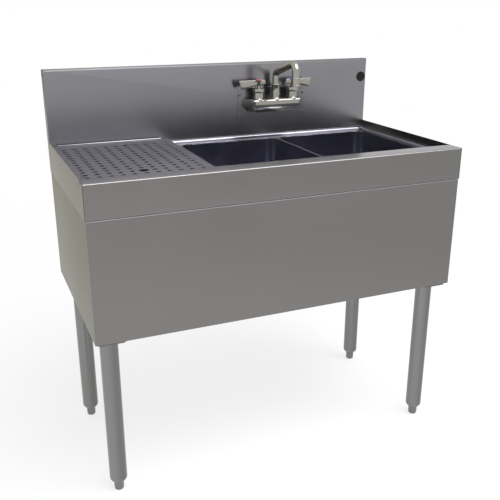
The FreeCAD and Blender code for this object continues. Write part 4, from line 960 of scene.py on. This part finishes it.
def buildFloor():
    startPiece(bpy.ops.mesh.primitive_circle_add, vertices=studio["floorSides"],
               radius=studio["floorRadius"], fill_type="NGON",
               location=(0, 0, -studio["floorDrop"]))
    pick("FACE", everyFace)
    bpy.ops.mesh.inset(thickness=studio["floorRadius"] - studio["discRadius"], depth=0)
    bpy.ops.object.mode_set(mode="OBJECT")
    floor = bpy.context.object
    floor.name = "studioFloor"
    material, tree = newTree("studioFloor")
    place = addNode(tree, "ShaderNodeTexCoord").outputs["Object"]
    seen, mirrored = rayKinds(tree)
    far = addNode(tree, "ShaderNodeVectorMath", {0: place}, operation="LENGTH").outputs["Value"]
    fade = remap(tree, far, 0.0, 1.0, studio["fadeStart"], studio["fadeEnd"])
    matte = addNode(tree, "ShaderNodeBsdfDiffuse", {"Color": (studio["shadowPart"],) * 3 + (1,)})
    # the floor mirrored in the steel is a little brighter on the left
    across = addNode(tree, "ShaderNodeSeparateXYZ", {0: place}).outputs["X"]
    slope = remap(tree, across, studio["mirrorLeft"] - 1, studio["mirrorRight"] - 1,
                  studio["leftX"], studio["rightX"])
    shade = addNode(tree, "ShaderNodeMath", {0: mirrored, 1: slope, 2: 1.0},
                    operation="MULTIPLY_ADD").outputs[0]
    glowLevel = addNode(tree, "ShaderNodeMath", {0: seen, 1: studio["floorGlow"]},
                        operation="MULTIPLY").outputs[0]
    shadedGlow = addNode(tree, "ShaderNodeMath", {0: glowLevel, 1: shade},
                         operation="MULTIPLY").outputs[0]
    nearGlow = addNode(tree, "ShaderNodeEmission", {"Strength": shadedGlow})
    near = addNode(tree, "ShaderNodeAddShader", {0: matte.outputs[0], 1: nearGlow.outputs[0]})
    farGlow = addNode(tree, "ShaderNodeEmission", {"Strength": shade})
    both = addNode(tree, "ShaderNodeMixShader", {0: fade, 1: near.outputs[0],
                   2: farGlow.outputs[0]})
    addNode(tree, "ShaderNodeOutputMaterial", {"Surface": both.outputs[0]})
    floor.data.materials.append(material)


def buildWorld():
    world = bpy.data.worlds.new("studioWorld")
    bpy.context.scene.world = world
    world.use_nodes = True
    tree = world.node_tree
    tree.nodes.clear()
    level = remap(tree, rayKinds(tree)[0], studio["spreadLevel"], 1.0, 0.0, 1.0)
    glow = addNode(tree, "ShaderNodeBackground", {"Color": (1, 1, 1, 1), "Strength": level})
    addNode(tree, "ShaderNodeOutputWorld", {"Surface": glow.outputs[0]})


softbox = {"place": (0.75, -1.2, 3.1), "aim": (0.1, -0.1, 0.8), "size": (3.0, 2.2),
           "power": 130, "color": (0.95, 0.95, 1.0)}


def buildSoftbox():
    light = bpy.data.lights.new("softboxAbove", "AREA")
    light.shape = "RECTANGLE"
    light.size, light.size_y = softbox["size"]
    light.energy = softbox["power"]
    light.color = softbox["color"]
    holder = bpy.data.objects.new("softboxAbove", light)
    bpy.context.scene.collection.objects.link(holder)
    holder.location = softbox["place"]
    away = [b - a for a, b in zip(softbox["place"], softbox["aim"])]
    flat = math.hypot(away[0], away[1])
    holder.rotation_euler = (math.atan2(flat, -away[2]), 0, math.atan2(-away[0], away[1]))


viewpoint = {"place": (-0.6709, -1.5875, 1.1047), "turn": 22.883, "down": 19.791,
             "lens": 50.458, "sensor": 36, "farthest": 200}


def buildCamera():
    lens = bpy.data.cameras.new("photoCamera")
    lens.lens = viewpoint["lens"]
    lens.sensor_width = viewpoint["sensor"]
    lens.clip_end = viewpoint["farthest"]
    camera = bpy.data.objects.new("photoCamera", lens)
    bpy.context.scene.collection.objects.link(camera)
    camera.location = viewpoint["place"]
    camera.rotation_euler = (math.radians(90 - viewpoint["down"]), 0,
                             math.radians(-viewpoint["turn"]))
    bpy.context.scene.camera = camera


buildFloor()
buildWorld()
buildSoftbox()
buildCamera()
bpy.context.scene.view_settings.view_transform = "Standard"
print("studio set")
